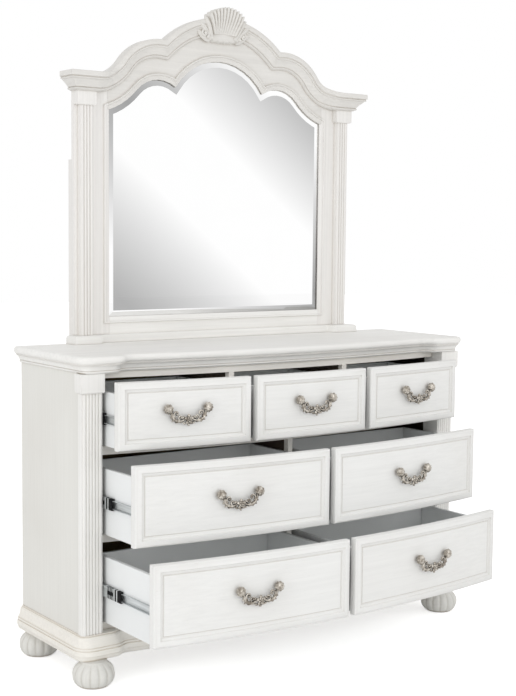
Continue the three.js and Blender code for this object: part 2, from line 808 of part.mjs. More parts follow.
function crownRun() {
  const lines = crownProfile.map(([drop]) => crestLine(drop));
  return skin(crestPath.map((_, station) => crownProfile.map(([, y], i) => {
    const [x, z] = lines[i][station];
    return new THREE.Vector3(x, y, z);
  })));
}

// Outline of the frame board under the crown, grown by room
function frameOutline(room, foot) {
  const half = frameHalf + room;
  const shoulder = crownTop - crownLid - fit + room;
  const top = crestLine(crownLid + fit - room).filter(([x]) => Math.abs(x) < frameHalf);
  return [[half, foot], [half, shoulder], ...top.reverse(), [-half, shoulder], [-half, foot]];
}

// End blocks of the crown, wrapped round the top of the stiles
const endBottom = crownTop - endHeight;
const capitalIn = mirrorShaftIn - mirrorCapitalLap;
const capitalFrontY = mirrorShaftFront - mirrorCapitalLap / 2;
const endShares = [[0, 0.04], [0.14, 0.12], [0.36, 0.24], [0.58, 0.62], [0.64, 0.88], [0.68, 1], [1, 1]];
const sweepShare = 0.9;
function crownBlock(side) {
  const rings = endShares.map(([rise, share]) => {
    const reach = endReach * share;
    const sweepFront = frameFace - crownProjection * share * sweepShare;
    const outline = [
      [capitalIn - endSweep, frameBack],
      ...ogee([capitalIn - endSweep, sweepFront], [capitalIn, capitalFrontY - reach], 4),
      [frameHalf + reach, capitalFrontY - reach], [frameHalf + reach, frameBack],
    ];
    return inPlan(mirrorAcross(outline, side), endBottom + fit + (endHeight - fit) * rise);
  });
  const frameRoom = frameOutline(fit, endBottom - overrun);
  return cut(skin(rings), board(frameRoom, frameFace - fit, frameBack + overrun));
}

// Shell: ribs that run from a narrow neck up to a nicked rim
const ribSteps = 3;
const shellTurns = between(-1, 1, shellRibs * ribSteps);
const ribSwell = (i) => Math.abs(Math.sin(Math.PI * i / ribSteps));
const shellFoot = (turn) => [neckHalf * turn, shellZ + neckRise];
const shellRim = (turn, i) => {
  const angle = Math.PI / 2 - shellSpread / 2 * turn;
  const reach = shellRadius - shellNick * (1 - ribSwell(i));
  return [reach * Math.cos(angle), shellZ + reach * Math.sin(angle)];
};

// Seat cut in the crown for the shell, its collar and its volutes
const collarTop = shellZ + neckRise + fit;
const voluteMiddle = shellZ + voluteTall;
const seatHalf = voluteX - voluteHalf / 2;
const seatTop = voluteMiddle + voluteTall / 2;
const shellSeat = [
  offset([...shellTurns.map(shellRim), shellFoot(1), shellFoot(-1)], -fit),
  [[-seatHalf, shellZ - fit], [seatHalf, shellZ - fit], [seatHalf, seatTop], [-seatHalf, seatTop]],
  ...[-voluteX, voluteX].map((x) => {
    const round = 1 / Math.cos(Math.PI / voluteSides);
    return arc([0, 0], round, 0, Math.PI * 2, voluteSides).slice(1).map(([u, v]) => {
      return [x + u * (voluteHalf + fit), voluteMiddle + v * (voluteTall + fit)];
    });
  }),
].map((outline) => board(outline, frameFace - crownProjection * 2, frameFace));
place('crown_moulding', cut(join(crownRun(), crownBlock(-1), crownBlock(1)), ...shellSeat), whitewash);

// Closed skin over loops that come back to the first one
function ringSkin(loops) {
  const count = loops[0].length;
  const points = loops.flat();
  const faces = loops.flatMap((loop, level) => loop.flatMap((_, i) => {
    const next = (i + 1) % count;
    const here = level * count;
    const there = ((level + 1) % loops.length) * count;
    return [[here + i, here + next, there + next], [here + i, there + next, there + i]];
  }));
  if (signedVolume(points, faces) < 0) faces.forEach((face) => face.reverse());
  return new THREE.BufferGeometry().setFromPoints(points).setIndex(faces.flat());
}

// Frame board with a rebated sight moulding round the opening
const plinthTop = topHeight + fit + plinthHeight;
const frameFoot = plinthTop + fit;
const glassFront = frameBack - backThickness - fit - glassThickness;
const lipBack = glassFront - fit;
const sightShares = [[0, -0.3], [0.25, 0.05], [0.66, 0.5], [0.72, 1], [0.94, 1], [1, 0]];
const sightLoops = [
  inFront(sightLine(0), lipBack),
  ...sightShares.map(([run, rise]) => inFront(sightLine(sightWidth * run), frameFace - sightRise * rise)),
  inFront(sightLine(sightWidth), lipBack),
];
const frameHole = board(sightLine(rebate), frameFace - overrun, frameBack + overrun);
const frameBody = join(
  cut(board(frameOutline(0, frameFoot), frameFace, frameBack), frameHole), ringSkin(sightLoops),
);
const frameRegion = (x0, x1, z0, z1) => block(x0, x1, plinthFront, frameBack + overrun, z0, z1);

// Crest rail between the stiles
const joint = crestJoint - fit / 2;
const crestRegion = frameRegion(-joint, joint, glassCorner + fit, archZ + archRadius);
place('crest_rail', keep(frameBody, crestRegion), whitewash);

// Stiles with a reeded pilaster and a capital
function stile(side) {
  const order = (x0, x1) => [side * x0, side * x1].sort((a, b) => a - b);
  const upper = order(crestJoint + fit / 2, frameHalf + overrun);
  const lower = order(glassHalf, frameHalf + overrun);
  const member = keep(frameBody, join(
    frameRegion(...upper, frameFoot, crownTop), frameRegion(...lower, frameFoot - overrun, glassCorner),
  ));
  const into = (frameFace + frameBack) / 2;
  const shaftOutline = [
    ...reededFront(mirrorShaftIn, mirrorShaftOut, mirrorShaftFront + reedRise, mirrorReeds, reedRise),
    [mirrorShaftOut, into], [mirrorShaftIn, into],
  ];
  const low = endBottom - mirrorCapitalHeight;
  const shaft = slab(mirrorAcross(shaftOutline, side), frameFoot, low + mirrorCapitalHeight / 2);
  const capital = skin(capitalSteps(low, endBottom, mirrorCapitalCove).map(([z, share]) => {
    const lap = mirrorCapitalLap * share;
    const front = mirrorShaftFront - lap / 2;
    const outer = mirrorShaftOut + (frameHalf - mirrorShaftOut) * share;
    return inPlan(mirrorAcross([
      [mirrorShaftIn - lap, into], [mirrorShaftIn - lap, front], [outer, front], [outer, into],
    ], side), z);
  }));
  return join(member, shaft, capital);
}
place('stile_left', stile(-1), whitewash);
place('stile_right', stile(1), whitewash);

// Bottom rail on the plinth, which breaks forward under the pilasters
const plinthShares = [[0, 0], [0.7, 0], [0.82, 0.15], [0.93, 0.45], [1, 1]];
const plinth = skin(plinthShares.map(([rise, share]) => {
  const back = plinthRound * share;
  const breakOut = mirrorShaftIn - plinthBreakLap - back;
  return inPlan(mirrored([
    [plinthHalf - back, frameBack],
    [plinthHalf - back, plinthFront + back],
    ...ogee([breakOut, plinthFront + back], [breakOut - plinthBreak, plinthRecess + back], 5),
  ]), topHeight + fit + plinthHeight * rise);
}));
const railHalf = glassHalf - fit;
const bottomMember = keep(frameBody, frameRegion(-railHalf, railHalf, frameFoot, glassBottom));
const railRoot = block(
  -railHalf, railHalf, frameFace, frameBack, plinthTop - plinthRound, glassBottom - sightWidth,
);
place('bottom_rail', join(plinth, railRoot, bottomMember), whitewash);

// Bevelled glass in the rebate, and the board behind it
const paneLine = (inward) => sightLine(rebate - fit - inward);
place('mirror_glass', skin([
  inFront(paneLine(0), glassFront + glassThickness),
  inFront(paneLine(0), glassFront + bevelDepth),
  inFront(paneLine(glassBevel), glassFront),
]), silvered);
place('mirror_back', board(paneLine(0), frameBack - backThickness, frameBack), fibreboard);

// Posts behind the case and the mirror
[['support_left', -1], ['support_right', 1]].forEach(([name, side]) => {
  const ends = [side * frameHalf, side * (frameHalf - supportWidth)].sort((a, b) => a - b);
  const front = frameBack + fit;
  place(name, block(...ends, front, front + supportDepth, supportBottom, supportTop), fibreboard);
});

// Shell carving: the ribbed fan on a rounded collar, between two volutes
const shellBack = frameFace - fit;
const ribShares = [0, 0.4, 0.75, 1];
const shellFan = skin(shellTurns.map((turn, i) => {
  const foot = shellFoot(turn);
  const rim = shellRim(turn, i);
  const along = (share, y) => {
    return new THREE.Vector3(foot[0] + (rim[0] - foot[0]) * share, y, foot[1] + (rim[1] - foot[1]) * share);
  };
  const front = ribShares.map((share) => {
    return along(share, shellBack - shellBase - shellFlare * share ** 2 - shellRib * ribSwell(i));
  });
  return [...front, along(1, shellBack), along(0, shellBack)];
}));
const collarShares = [[0, 0.6], [0.25, 0.95], [0.6, 1], [1, 0.75]];
const collar = skin(collarShares.map(([rise, share]) => inPlan([
  [-collarHalf, shellBack], [-collarHalf * share, shellBack - collarDepth * share],
  [collarHalf * share, shellBack - collarDepth * share], [collarHalf, shellBack],
], shellZ + (collarTop - shellZ) * rise)));
const voluteShares = [[0, 0], [1, 0], [1, 0.6], [0.7, 0.95], [0.5, 0.72], [0.3, 1], [0, 1]];
const volutes = [-voluteX, voluteX].map((x) => {
  return turned(voluteShares, voluteSides)
    .scale(voluteHalf, voluteDepth, voluteTall).translate(x, shellBack, voluteMiddle);
});
place('shell_carving', join(shellFan, collar, ...volutes), whitewash);

// The origin is the middle of the whole, on the floor
const bounds = new THREE.Box3().setFromObject(assembly, true);
const middle = bounds.getCenter(new THREE.Vector3());
assembly.position.set(-middle.x, -middle.y, -bounds.min.z);

export default assembly;
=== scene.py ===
"""Looks of the dresser with mirror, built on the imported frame. Metres, +X right, +Y back, +Z up."""
import math

import bmesh
import bpy
from mathutils import Matrix, Vector


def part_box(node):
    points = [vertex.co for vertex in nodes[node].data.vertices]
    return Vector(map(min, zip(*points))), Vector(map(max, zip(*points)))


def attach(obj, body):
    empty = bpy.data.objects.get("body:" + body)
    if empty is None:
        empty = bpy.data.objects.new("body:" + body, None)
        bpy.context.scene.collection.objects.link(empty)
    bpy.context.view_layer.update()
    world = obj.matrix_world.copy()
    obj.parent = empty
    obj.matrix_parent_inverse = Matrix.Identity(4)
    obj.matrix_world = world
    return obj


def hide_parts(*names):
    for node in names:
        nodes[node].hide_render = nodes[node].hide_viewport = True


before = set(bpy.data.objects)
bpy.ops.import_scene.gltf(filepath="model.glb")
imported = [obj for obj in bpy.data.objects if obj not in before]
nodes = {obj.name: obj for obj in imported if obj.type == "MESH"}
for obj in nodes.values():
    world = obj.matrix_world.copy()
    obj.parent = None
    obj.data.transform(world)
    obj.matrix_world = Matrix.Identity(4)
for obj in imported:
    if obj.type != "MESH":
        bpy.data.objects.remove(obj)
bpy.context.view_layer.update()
scene = bpy.context.scene
scene.view_settings.view_transform = "Standard"

DRAWERS = [
    "top_left", "top_middle", "top_right",
    "middle_left", "middle_right",
    "bottom_left", "bottom_right",
]

# Middle of the case in depth, 240 mm before its back
DATUM_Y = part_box("top_board")[1].y - 0.240

# Camera: the place, turn and lens that fit the photograph
IMAGE_W = 516
FOCAL_PX, SHIFT_PX = 1315.0, (1.26, -2.9)
SENSOR_WIDTH, VIEW_END = 36, 60
CAMERA_PLACE = (-2.754, -3.842 + DATUM_Y, 1.460)
YAW, PITCH, ROLL = math.radians(35.78), math.radians(-4.96), math.radians(0.52)


def add_object(name, data):
    thing = bpy.data.objects.new(name, data)
    scene.collection.objects.link(thing)
    return thing


def make_camera():
    ahead = Vector((math.sin(YAW) * math.cos(PITCH), math.cos(YAW) * math.cos(PITCH), math.sin(PITCH)))
    right = Vector((math.cos(YAW), -math.sin(YAW), 0))
    up = right.cross(ahead)
    right_rolled = right * math.cos(ROLL) + up * math.sin(ROLL)
    up_rolled = up * math.cos(ROLL) - right * math.sin(ROLL)
    data = bpy.data.cameras.new("camera")
    data.sensor_fit = "HORIZONTAL"
    data.sensor_width = SENSOR_WIDTH
    data.lens = FOCAL_PX / IMAGE_W * SENSOR_WIDTH
    data.shift_x = SHIFT_PX[0] / IMAGE_W
    data.shift_y = SHIFT_PX[1] / IMAGE_W
    data.clip_end = VIEW_END
    camera = add_object("camera", data)
    turn = Matrix((right_rolled, up_rolled, -ahead)).transposed()
    camera.matrix_world = Matrix.Translation(CAMERA_PLACE) @ turn.to_4x4()
    scene.camera = camera


make_camera()


# Node graphs
class Graph:
    """A material's node tree with short calls for the nodes used here."""

    def __init__(self, name):
        self.material = bpy.data.materials.new(name)
        self.material.use_nodes = True
        self.tree = self.material.node_tree
        self.tree.nodes.clear()
        out = self.add("ShaderNodeOutputMaterial")
        self.shader = self.add("ShaderNodeBsdfPrincipled")
        self.link(self.shader.outputs[0], out.inputs["Surface"])
        self.place = self.add("ShaderNodeTexCoord").outputs["Object"]

    def add(self, kind, **values):
        node = self.tree.nodes.new(kind)
        for key, value in values.items():
            setattr(node, key, value)
        return node

    def link(self, source, target):
        self.tree.links.new(source, target)

    def feed(self, socket, value):
        """value is another node's output, a number, or a colour of three numbers."""
        if isinstance(value, bpy.types.NodeSocket):
            self.link(value, socket)
        elif isinstance(value, (int, float)):
            socket.default_value = value
        else:
            socket.default_value = (*value, 1)

    def stretched(self, scale):
        node = self.add("ShaderNodeMapping")
        node.inputs["Scale"].default_value = scale
        self.link(self.place, node.inputs["Vector"])
        return node.outputs[0]

    def noise(self, scale, detail, rough, vector=None):
        node = self.add("ShaderNodeTexNoise")
        node.inputs["Scale"].default_value = scale
        node.inputs["Detail"].default_value = detail
        node.inputs["Roughness"].default_value = rough
        self.link(vector or self.place, node.inputs["Vector"])
        return node.outputs["Fac"]

    def ramp(self, value, low, high, out_low=0.0, out_high=1.0):
        """Straight from out_low at low to out_high at high, and level outside them."""
        node = self.add("ShaderNodeMapRange")
        node.clamp = True
        self.link(value, node.inputs["Value"])
        node.inputs["From Min"].default_value = low
        node.inputs["From Max"].default_value = high
        node.inputs["To Min"].default_value = out_low
        node.inputs["To Max"].default_value = out_high
        return node.outputs[0]

    def math(self, kind, first, second=0.0):
        node = self.add("ShaderNodeMath", operation=kind)
        self.feed(node.inputs[0], first)
        self.feed(node.inputs[1], second)
        return node.outputs[0]

    def mix(self, share, first, second):
        """Mix of two colours. Sockets 6, 7 and 2 are the colour ones of the node."""
        node = self.add("ShaderNodeMix", data_type="RGBA")
        self.feed(node.inputs[0], share)
        self.feed(node.inputs[6], first)
        self.feed(node.inputs[7], second)
        return node.outputs[2]

    def blend(self, share, first, second):
        """Mix of two numbers."""
        node = self.add("ShaderNodeMix", data_type="FLOAT")
        self.feed(node.inputs[0], share)
        self.feed(node.inputs[2], first)
        self.feed(node.inputs[3], second)
        return node.outputs[0]

    def axes(self):
        node = self.add("ShaderNodeSeparateXYZ")
        self.link(self.place, node.inputs[0])
        return node.outputs

    def recess(self, distance, samples=6):
        """Ambient occlusion within distance: 1 in the open, lower in a hollow."""
        node = self.add("ShaderNodeAmbientOcclusion", samples=samples)
        node.inputs["Distance"].default_value = distance
        return node.outputs["AO"]

    def bump(self, height, strength, distance, normal=None):
        node = self.add("ShaderNodeBump")
        node.inputs["Strength"].default_value = strength
        node.inputs["Distance"].default_value = distance
        self.link(height, node.inputs["Height"])
        if normal is not None:
            self.link(normal, node.inputs["Normal"])
        return node.outputs[0]

    def rounding(self, radius):
        """Normal that rounds the edges off in the shading."""
        node = self.add("ShaderNodeBevel", samples=4)
        node.inputs["Radius"].default_value = radius
        return node.outputs[0]

    def edges(self, rounded):
        """1 at an edge, where the rounded normal turns away from the true one."""
        geometry = self.add("ShaderNodeNewGeometry")
        dot = self.add("ShaderNodeVectorMath", operation="DOT_PRODUCT")
        self.link(rounded, dot.inputs[0])
        self.link(geometry.outputs["True Normal"], dot.inputs[1])
        return self.ramp(dot.outputs["Value"], 0.999, 0.93)

    def set(self, **values):
        for key, value in values.items():
            self.feed(self.shader.inputs[key.replace("_", " ")], value)


def linear(code):
    """Linear colour of a hex code in sRGB."""
    parts = [int(code[i:i + 2], 16) / 255 for i in (1, 3, 5)]
    return tuple(c / 12.92 if c <= 0.04045 else ((c + 0.055) / 1.055) ** 2.4 for c in parts)


# Scales of the noise for streaks and pores, drawn out along the grain
GRAIN = {"x": (2.0, 105, 105), "z": (105, 105, 2.0)}
PORES = {"x": (9, 420, 420), "z": (420, 420, 9)}


def painted_wood(name, coat, glaze, axis, recess, rub, depth=0.011, streak=0.93, extra=None):
    """Brushed paint over wood: streaks along the grain, glaze in the hollows, rubbed edges.

    recess is the share of glaze in hollows, which is the finish's own glaze and also painted shade there,
    depth the distance they are felt over, rub the wear of the edges, streak the tone of the darker streaks.
    extra(graph, colour, roughness) changes both.
    """
    g = Graph(name)
    streaks = g.noise(1.0, 5, 0.62, g.stretched(GRAIN[axis]))
    pores = g.noise(1.0, 2, 0.5, g.stretched(PORES[axis]))
    clouds = g.noise(2.6, 3, 0.5)
    rounded = g.rounding(0.0014)
    tone = tuple(c * streak for c in coat)
    colour = g.mix(g.ramp(streaks, 0.34, 0.64), tone, coat)
    colour = g.mix(g.ramp(clouds, 0.42, 0.78, 0, 0.12), colour, glaze)
    pore_share = g.math("MULTIPLY", g.ramp(pores, 0.66, 0.8), 0.2)
    colour = g.mix(pore_share, colour, tuple(c * 0.82 for c in glaze))
    # painted shade: ambient occlusion lays glaze in the hollows, where the finish has it, and also under
    # overhangs and between parts, where shade falls
    hollow = g.ramp(g.recess(depth), 0.92, 0.38, 0, recess)
    colour = g.mix(hollow, colour, glaze)
    worn = g.math("MULTIPLY", g.edges(rounded), g.ramp(streaks, 0.42, 0.6, 0.15, rub))
    colour = g.mix(worn, colour, tuple(c * 0.86 for c in glaze))
    rough = g.ramp(clouds, 0.3, 0.7, 0.46, 0.58)
    if extra is not None:
        colour, rough = extra(g, colour, rough)
    normal = g.bump(streaks, 0.12, 0.0008, rounded)
    normal = g.bump(pores, 0.06, 0.0004, normal)
    g.set(Base_Color=colour, Roughness=rough, Normal=normal, Specular_IOR_Level=0.4)
    return g.material


# The whitewash coats below are one paint. Their differences are painted light and shade: a part is lighter
# or darker as the light falls on it, darker for the side panels and crest, lighter for the posts and top
CREST_WHITE = linear("#e7e5e1")
POST_WHITE = linear("#f5f4f1")
FRONT_WHITE = linear("#f0f0ee")
SIDE_WHITE = linear("#e7e6e1")
MIRROR_WHITE = linear("#f1efec")
GLAZE = linear("#bfb7ab")
BASE_COAT = linear("#f6f3ec")
BASE_GLAZE = linear("#c8baa6")
FRAME_COAT = linear("#faf7f1")
RAW_DARK, RAW_PALE = linear("#433a32"), linear("#554a3f")
BOARD = linear("#f2f4f4")
ZINC = linear("#dce0e1")
BLACK = (0.007, 0.007, 0.008)


def board_material(name, zinc):
    """Smooth white lacquered board, with painted shade in its corners and deep inside. zinc gives the share
    that is rolled steel.
    """
    g = Graph(name)
    clouds = g.noise(3.0, 4, 0.55)
    specks = g.noise(260, 2, 0.5)
    rounded = g.rounding(0.0010)
    colour = g.mix(g.ramp(clouds, 0.35, 0.7), tuple(c * 0.955 for c in BOARD), BOARD)
    colour = g.mix(g.ramp(specks, 0.64, 0.8, 0, 0.12), colour, (0.45, 0.44, 0.42))
    # painted shade: grey in the corners and joins of the box
    colour = g.mix(g.ramp(g.recess(0.012), 0.9, 0.3, 0, 0.35), colour, (0.42, 0.43, 0.44))
    # painted shade: dark deep inside the box, where little light comes in
    colour = g.mix(g.ramp(g.recess(0.14, 8), 0.52, 0.14, 0, 0.55), colour, (0.2, 0.19, 0.18))
    share = zinc(g)
    steel, steel_rough = zinc_look(g)
    colour = g.mix(share, colour, steel)
    rough = g.blend(share, g.ramp(specks, 0.3, 0.7, 0.36, 0.44), steel_rough)
    normal = g.bump(specks, 0.05, 0.0003, rounded)
    g.set(Base_Color=colour, Roughness=rough, Metallic=g.math("MULTIPLY", share, 0.85), Normal=normal)
    return g.material


def zinc_look(g):
    """Colour and roughness of zinc-plated rolled steel."""
    grain = g.noise(1.0, 3, 0.6, g.stretched((90, 6, 300)))
    spangle = g.noise(60, 2, 0.5)
    steel = g.mix(g.ramp(grain, 0.35, 0.65), tuple(c * 0.8 for c in ZINC), ZINC)
    # painted shade: darker in the channels of the steel and where parts meet
    steel = g.mix(g.ramp(g.recess(0.006), 0.85, 0.3, 0, 0.45), steel, (0.13, 0.14, 0.14))
    return steel, g.ramp(spangle, 0.3, 0.7, 0.3, 0.46)


def near(g, value, low, high):
    """1 where the value lies between low and high."""
    above = g.math("GREATER_THAN", value, low)
    below = g.math("LESS_THAN", value, high)
    return g.math("MULTIPLY", above, below)


# Black plastic on a slide, in spans behind its front end, and the span, pitch and least height from the
# middle of the bright balls in its cage
BUMPER, LEVER, CAGE = (-1.0, 0.022), (0.029, 0.038), (0.047, 0.086)
BALLS, BALL_PITCH, BALL_RISE = (0.049, 0.084), 0.0098, 0.0065


def slide_material(name, nose, middle):
    """Zinc-plated member with its front end at Y nose and its middle at Z middle."""
    g = Graph(name)
    _, y, z = g.axes()
    steel, rough = zinc_look(g)
    behind = g.math("SUBTRACT", y, nose)
    share = near(g, behind, *BUMPER)
    for span in (LEVER, CAGE):
        share = g.math("MAXIMUM", share, near(g, behind, *span))
    balls = g.math("SINE", g.math("MULTIPLY", behind, 2 * math.pi / BALL_PITCH))
    rim = g.math("GREATER_THAN", g.math("ABSOLUTE", g.math("SUBTRACT", z, middle)), BALL_RISE)
    shown = g.math("MULTIPLY", g.math("GREATER_THAN", balls, 0.25), near(g, behind, *BALLS))
    share = g.math("MULTIPLY", share, g.math("SUBTRACT", 1.0, g.math("MULTIPLY", rim, shown)))
    dust = g.noise(180, 3, 0.6)
    colour = g.mix(share, steel, BLACK)
    rough = g.blend(share, rough, g.ramp(dust, 0.3, 0.7, 0.58, 0.72))
    metal = g.math("MULTIPLY", g.math("SUBTRACT", 1.0, share), 0.9)
    normal = g.bump(dust, 0.06, 0.0004, g.rounding(0.0006))
    g.set(Base_Color=colour, Roughness=rough, Metallic=metal, Normal=normal, Specular_IOR_Level=0.12)
    return g.material


def pewter_material():
    """Antique casting: bright high spots, dark wash in the hollows that is its patina and also painted
    shade.
    """
    g = Graph("pewter")
    cast = g.noise(220, 4, 0.6)
    tarnish = g.noise(75, 3, 0.6)
    rounded = g.rounding(0.0006)
    colour = g.mix(g.ramp(tarnish, 0.35, 0.65), linear("#d6d0c6"), linear("#857c71"))
    # dark wash in the hollows: the casting's own patina, and also painted shade near the drawer front and
    # between the parts of the pull
    colour = g.mix(g.ramp(g.recess(0.008, 8), 0.92, 0.5), colour, linear("#12100e"))
    rough = g.ramp(cast, 0.3, 0.7, 0.22, 0.36)
    normal = g.bump(cast, 0.18, 0.0006, rounded)
    g.set(Base_Color=colour, Roughness=rough, Metallic=0.9, Normal=normal)
    return g.material


# Painted reflection on the glass, a white band: its run per metre of X and Z, its middle line, and the
# distances from that line over which the painted field falls to its grey and the painted bevel rises from
# its own
REFLECTION_BAND_RUN, REFLECTION_BAND_MIDDLE = (220.3, 273.9), 437.0
FIELD_REFLECTION_SPAN, FIELD_REFLECTION_GREY = (54.0, 196.0), 0.705
BEVEL_REFLECTION_SPAN, BEVEL_REFLECTION_GREY = (0.0, 157.0), 0.64
FLAT_NORMAL_Y = -0.9998
DISPLAY_GAMMA = 2.2


def mirror_material():
    """Silvered glass with a painted reflection: a white band across it, grey towards two corners; its bevel
    is the other way.
    """
    g = Graph("silvered_glass")
    x, _, z = g.axes()
    across = g.math("ADD", g.math("MULTIPLY", x, REFLECTION_BAND_RUN[0]), g.math("MULTIPLY", z, REFLECTION_BAND_RUN[1]))
    off = g.math("ABSOLUTE", g.math("SUBTRACT", across, REFLECTION_BAND_MIDDLE))
    # painted reflection: white along the band, grey away from it, and the other way round on the bevel
    field = g.ramp(off, *FIELD_REFLECTION_SPAN, 1.0, FIELD_REFLECTION_GREY)
    bevel = g.ramp(off, *BEVEL_REFLECTION_SPAN, BEVEL_REFLECTION_GREY, 1.0)
    facing = g.add("ShaderNodeSeparateXYZ")
    g.link(g.add("ShaderNodeNewGeometry").outputs["True Normal"], facing.inputs[0])
    sloped = g.math("GREATER_THAN", facing.outputs[1], FLAT_NORMAL_Y)
    film = g.noise(9, 4, 0.6)
    shade = g.math("POWER", g.blend(sloped, field, bevel), DISPLAY_GAMMA)
    colour = g.mix(g.math("MULTIPLY", shade, g.ramp(film, 0.3, 0.7, 0.992, 1.0)), (0, 0, 0), (1, 1, 1))
    g.set(Base_Color=colour, Roughness=g.ramp(film, 0.3, 0.7, 0.006, 0.014), Metallic=1.0)
    return g.material


def fibreboard_material():
    """Raw tan fibreboard of the backs."""
    g = Graph("fibreboard")
    fibres = g.noise(1.0, 5, 0.65, g.stretched((240, 240, 60)))
    clouds = g.noise(4, 4, 0.6)
    tan, pale = linear("#9c8364"), linear("#b39a79")
    colour = g.mix(g.ramp(fibres, 0.35, 0.65), tan, pale)
    colour = g.mix(g.ramp(clouds, 0.4, 0.75, 0, 0.3), colour, linear("#7d674d"))
    rough = g.ramp(fibres, 0.3, 0.7, 0.78, 0.9)
    g.set(Base_Color=colour, Roughness=rough, Normal=g.bump(fibres, 0.2, 0.0006))
    return g.material


def raw_board(name, zinc):
    """Unpainted dark inner board, with rolled steel where zinc says so."""
    g = Graph(name)
    fibres = g.noise(1.0, 5, 0.65, g.stretched((60, 60, 240)))
    clouds = g.noise(4, 4, 0.6)
    colour = g.mix(g.ramp(fibres, 0.35, 0.65), RAW_DARK, RAW_PALE)
    colour = g.mix(g.ramp(clouds, 0.4, 0.75, 0, 0.3), colour, linear("#3b332c"))
    share = zinc(g)
    steel, steel_rough = zinc_look(g)
    colour = g.mix(share, colour, steel)
    rough = g.blend(share, g.ramp(fibres, 0.3, 0.7, 0.75, 0.88), steel_rough)
    metal = g.math("MULTIPLY", share, 0.85)
    g.set(Base_Color=colour, Roughness=rough, Metallic=metal, Normal=g.bump(fibres, 0.2, 0.0005))
    return g.material


def dress(name, material):
    """Give a CAD node its material."""
    node = nodes[name]
    node.data.materials.clear()
    node.data.materials.append(material)


wood_x = painted_wood("whitewash_x", CREST_WHITE, GLAZE, "x", 0.6, 0.3)
wood_z = painted_wood("whitewash_z", POST_WHITE, GLAZE, "z", 0.3, 0.2, depth=0.007)
wood_post = painted_wood("whitewash_post", MIRROR_WHITE, GLAZE, "z", 0.4, 0.25, depth=0.008)
wood_rail = painted_wood("whitewash_rail", POST_WHITE, GLAZE, "x", 0.35, 0.2, depth=0.008)
wood_top = painted_wood("whitewash_top", POST_WHITE, GLAZE, "x", 0.6, 0.3)
wood_cornice = painted_wood("whitewash_cornice", POST_WHITE, GLAZE, "x", 0.75, 0.25, depth=0.008)
wood_carved = painted_wood("whitewash_carved", CREST_WHITE, GLAZE, "x", 0.4, 0.15, depth=0.010)
wood_front = painted_wood("whitewash_front", FRONT_WHITE, GLAZE, "x", 0.65, 0.35, streak=0.958)
wood_foot = painted_wood("whitewash_foot", SIDE_WHITE, GLAZE, "z", 0.8, 0.3)
glazed = painted_wood("glazed_wood", BASE_COAT, BASE_GLAZE, "x", 0.6, 0.3, depth=0.009)
frame_wood = painted_wood("frame_wood", FRAME_COAT, BASE_GLAZE, "x", 0.35, 0.2, depth=0.009)
fibre = fibreboard_material()
pewter = pewter_material()

# The members of the slides that are fixed to the case are one solid with the wood that holds them. Side
# panel: raw board inside SIDE_INNER and before SIDE_BACK, steel inside SIDE_STEEL
SIDE_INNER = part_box("side_panel_right")[1].x - 0.004
SIDE_BACK = DATUM_Y + 0.2385
SIDE_STEEL = 0.7279
# Centre partition: steel at this distance from the middle
MIDDLE_STEEL = (0.0101, 0.03)
# Partitions of the top row: steel on both sides of them, at the height of the slides
HALF_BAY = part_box("top_middle_front")[1].x + 0.0015
BAY_STEEL = (HALF_BAY - 0.012, HALF_BAY - 0.0001), (HALF_BAY + 0.0201, HALF_BAY + 0.032)
BAY_STEEL_Z = (0.83, 0.89)
# Box of a drawer: steel to this depth at each side
BOX_STEEL = 0.0097


def side_zinc(g, colour, rough):
    """Steel of the case members, and raw board on the inner faces of a side panel."""
    x, y, _ = g.axes()
    x = g.math("ABSOLUTE", x)
    steel, steel_rough = zinc_look(g)
    fibres = g.noise(1.0, 4, 0.6, g.stretched((240, 240, 60)))
    raw = g.mix(g.ramp(fibres, 0.35, 0.65), RAW_DARK, RAW_PALE)
    inside = g.math("LESS_THAN", x, SIDE_INNER)
    inside = g.math("MULTIPLY", inside, g.math("LESS_THAN", y, SIDE_BACK))
    colour = g.mix(inside, colour, raw)
    share = g.math("LESS_THAN", x, SIDE_STEEL)
    return g.mix(share, colour, steel), g.blend(share, rough, steel_rough)


def middle_zinc(g):
    return near(g, g.math("ABSOLUTE", g.axes()[0]), *MIDDLE_STEEL)


def divider_zinc(g):
    x, _, z = g.axes()
    side = g.math("ABSOLUTE", x)
    either = g.math("MAXIMUM", near(g, side, *BAY_STEEL[0]), near(g, side, *BAY_STEEL[1]))
    return g.math("MULTIPLY", near(g, z, *BAY_STEEL_Z), either)


def box_zinc(low, high):
    """Steel below low and above high, the two drawer members of a box."""
    def share(g):
        x = g.axes()[0]
        return g.math("MAXIMUM", g.math("LESS_THAN", x, low), g.math("GREATER_THAN", x, high))
    return share


side_wood = painted_wood("whitewash_side", SIDE_WHITE, GLAZE, "z", 0.5, 0.3, streak=0.968, extra=side_zinc)
for name in ("side_panel_left", "side_panel_right"):
    dress(name, side_wood)
for name in ("back_panel", "mirror_back"):
    dress(name, fibre)
dress("mirror_glass", mirror_material())
dress("centre_partition", raw_board("centre_board", middle_zinc))
dress("upper_divider", raw_board("upper_board", divider_zinc))
for drawer in DRAWERS:
    low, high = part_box(drawer + "_box")
    steel = box_zinc(low.x + BOX_STEEL, high.x - BOX_STEEL)
    dress(drawer + "_box", board_material(drawer + "_board", steel))
    first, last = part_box(drawer + "_slide_left")
    member = slide_material(drawer + "_zinc", first.y, (first.z + last.z) / 2)
    dress(drawer + "_slide_left", member)
    dress(drawer + "_slide_right", member)


# New pieces
def shade(work, crease):
    """Smooth faces. Edges where two meet at more than crease degrees are sharp, and none is for None."""
    for face in work.faces:
        face.smooth = True
    for edge in work.edges:
        edge.smooth = crease is None or edge.is_manifold and edge.calc_face_angle() < math.radians(crease)


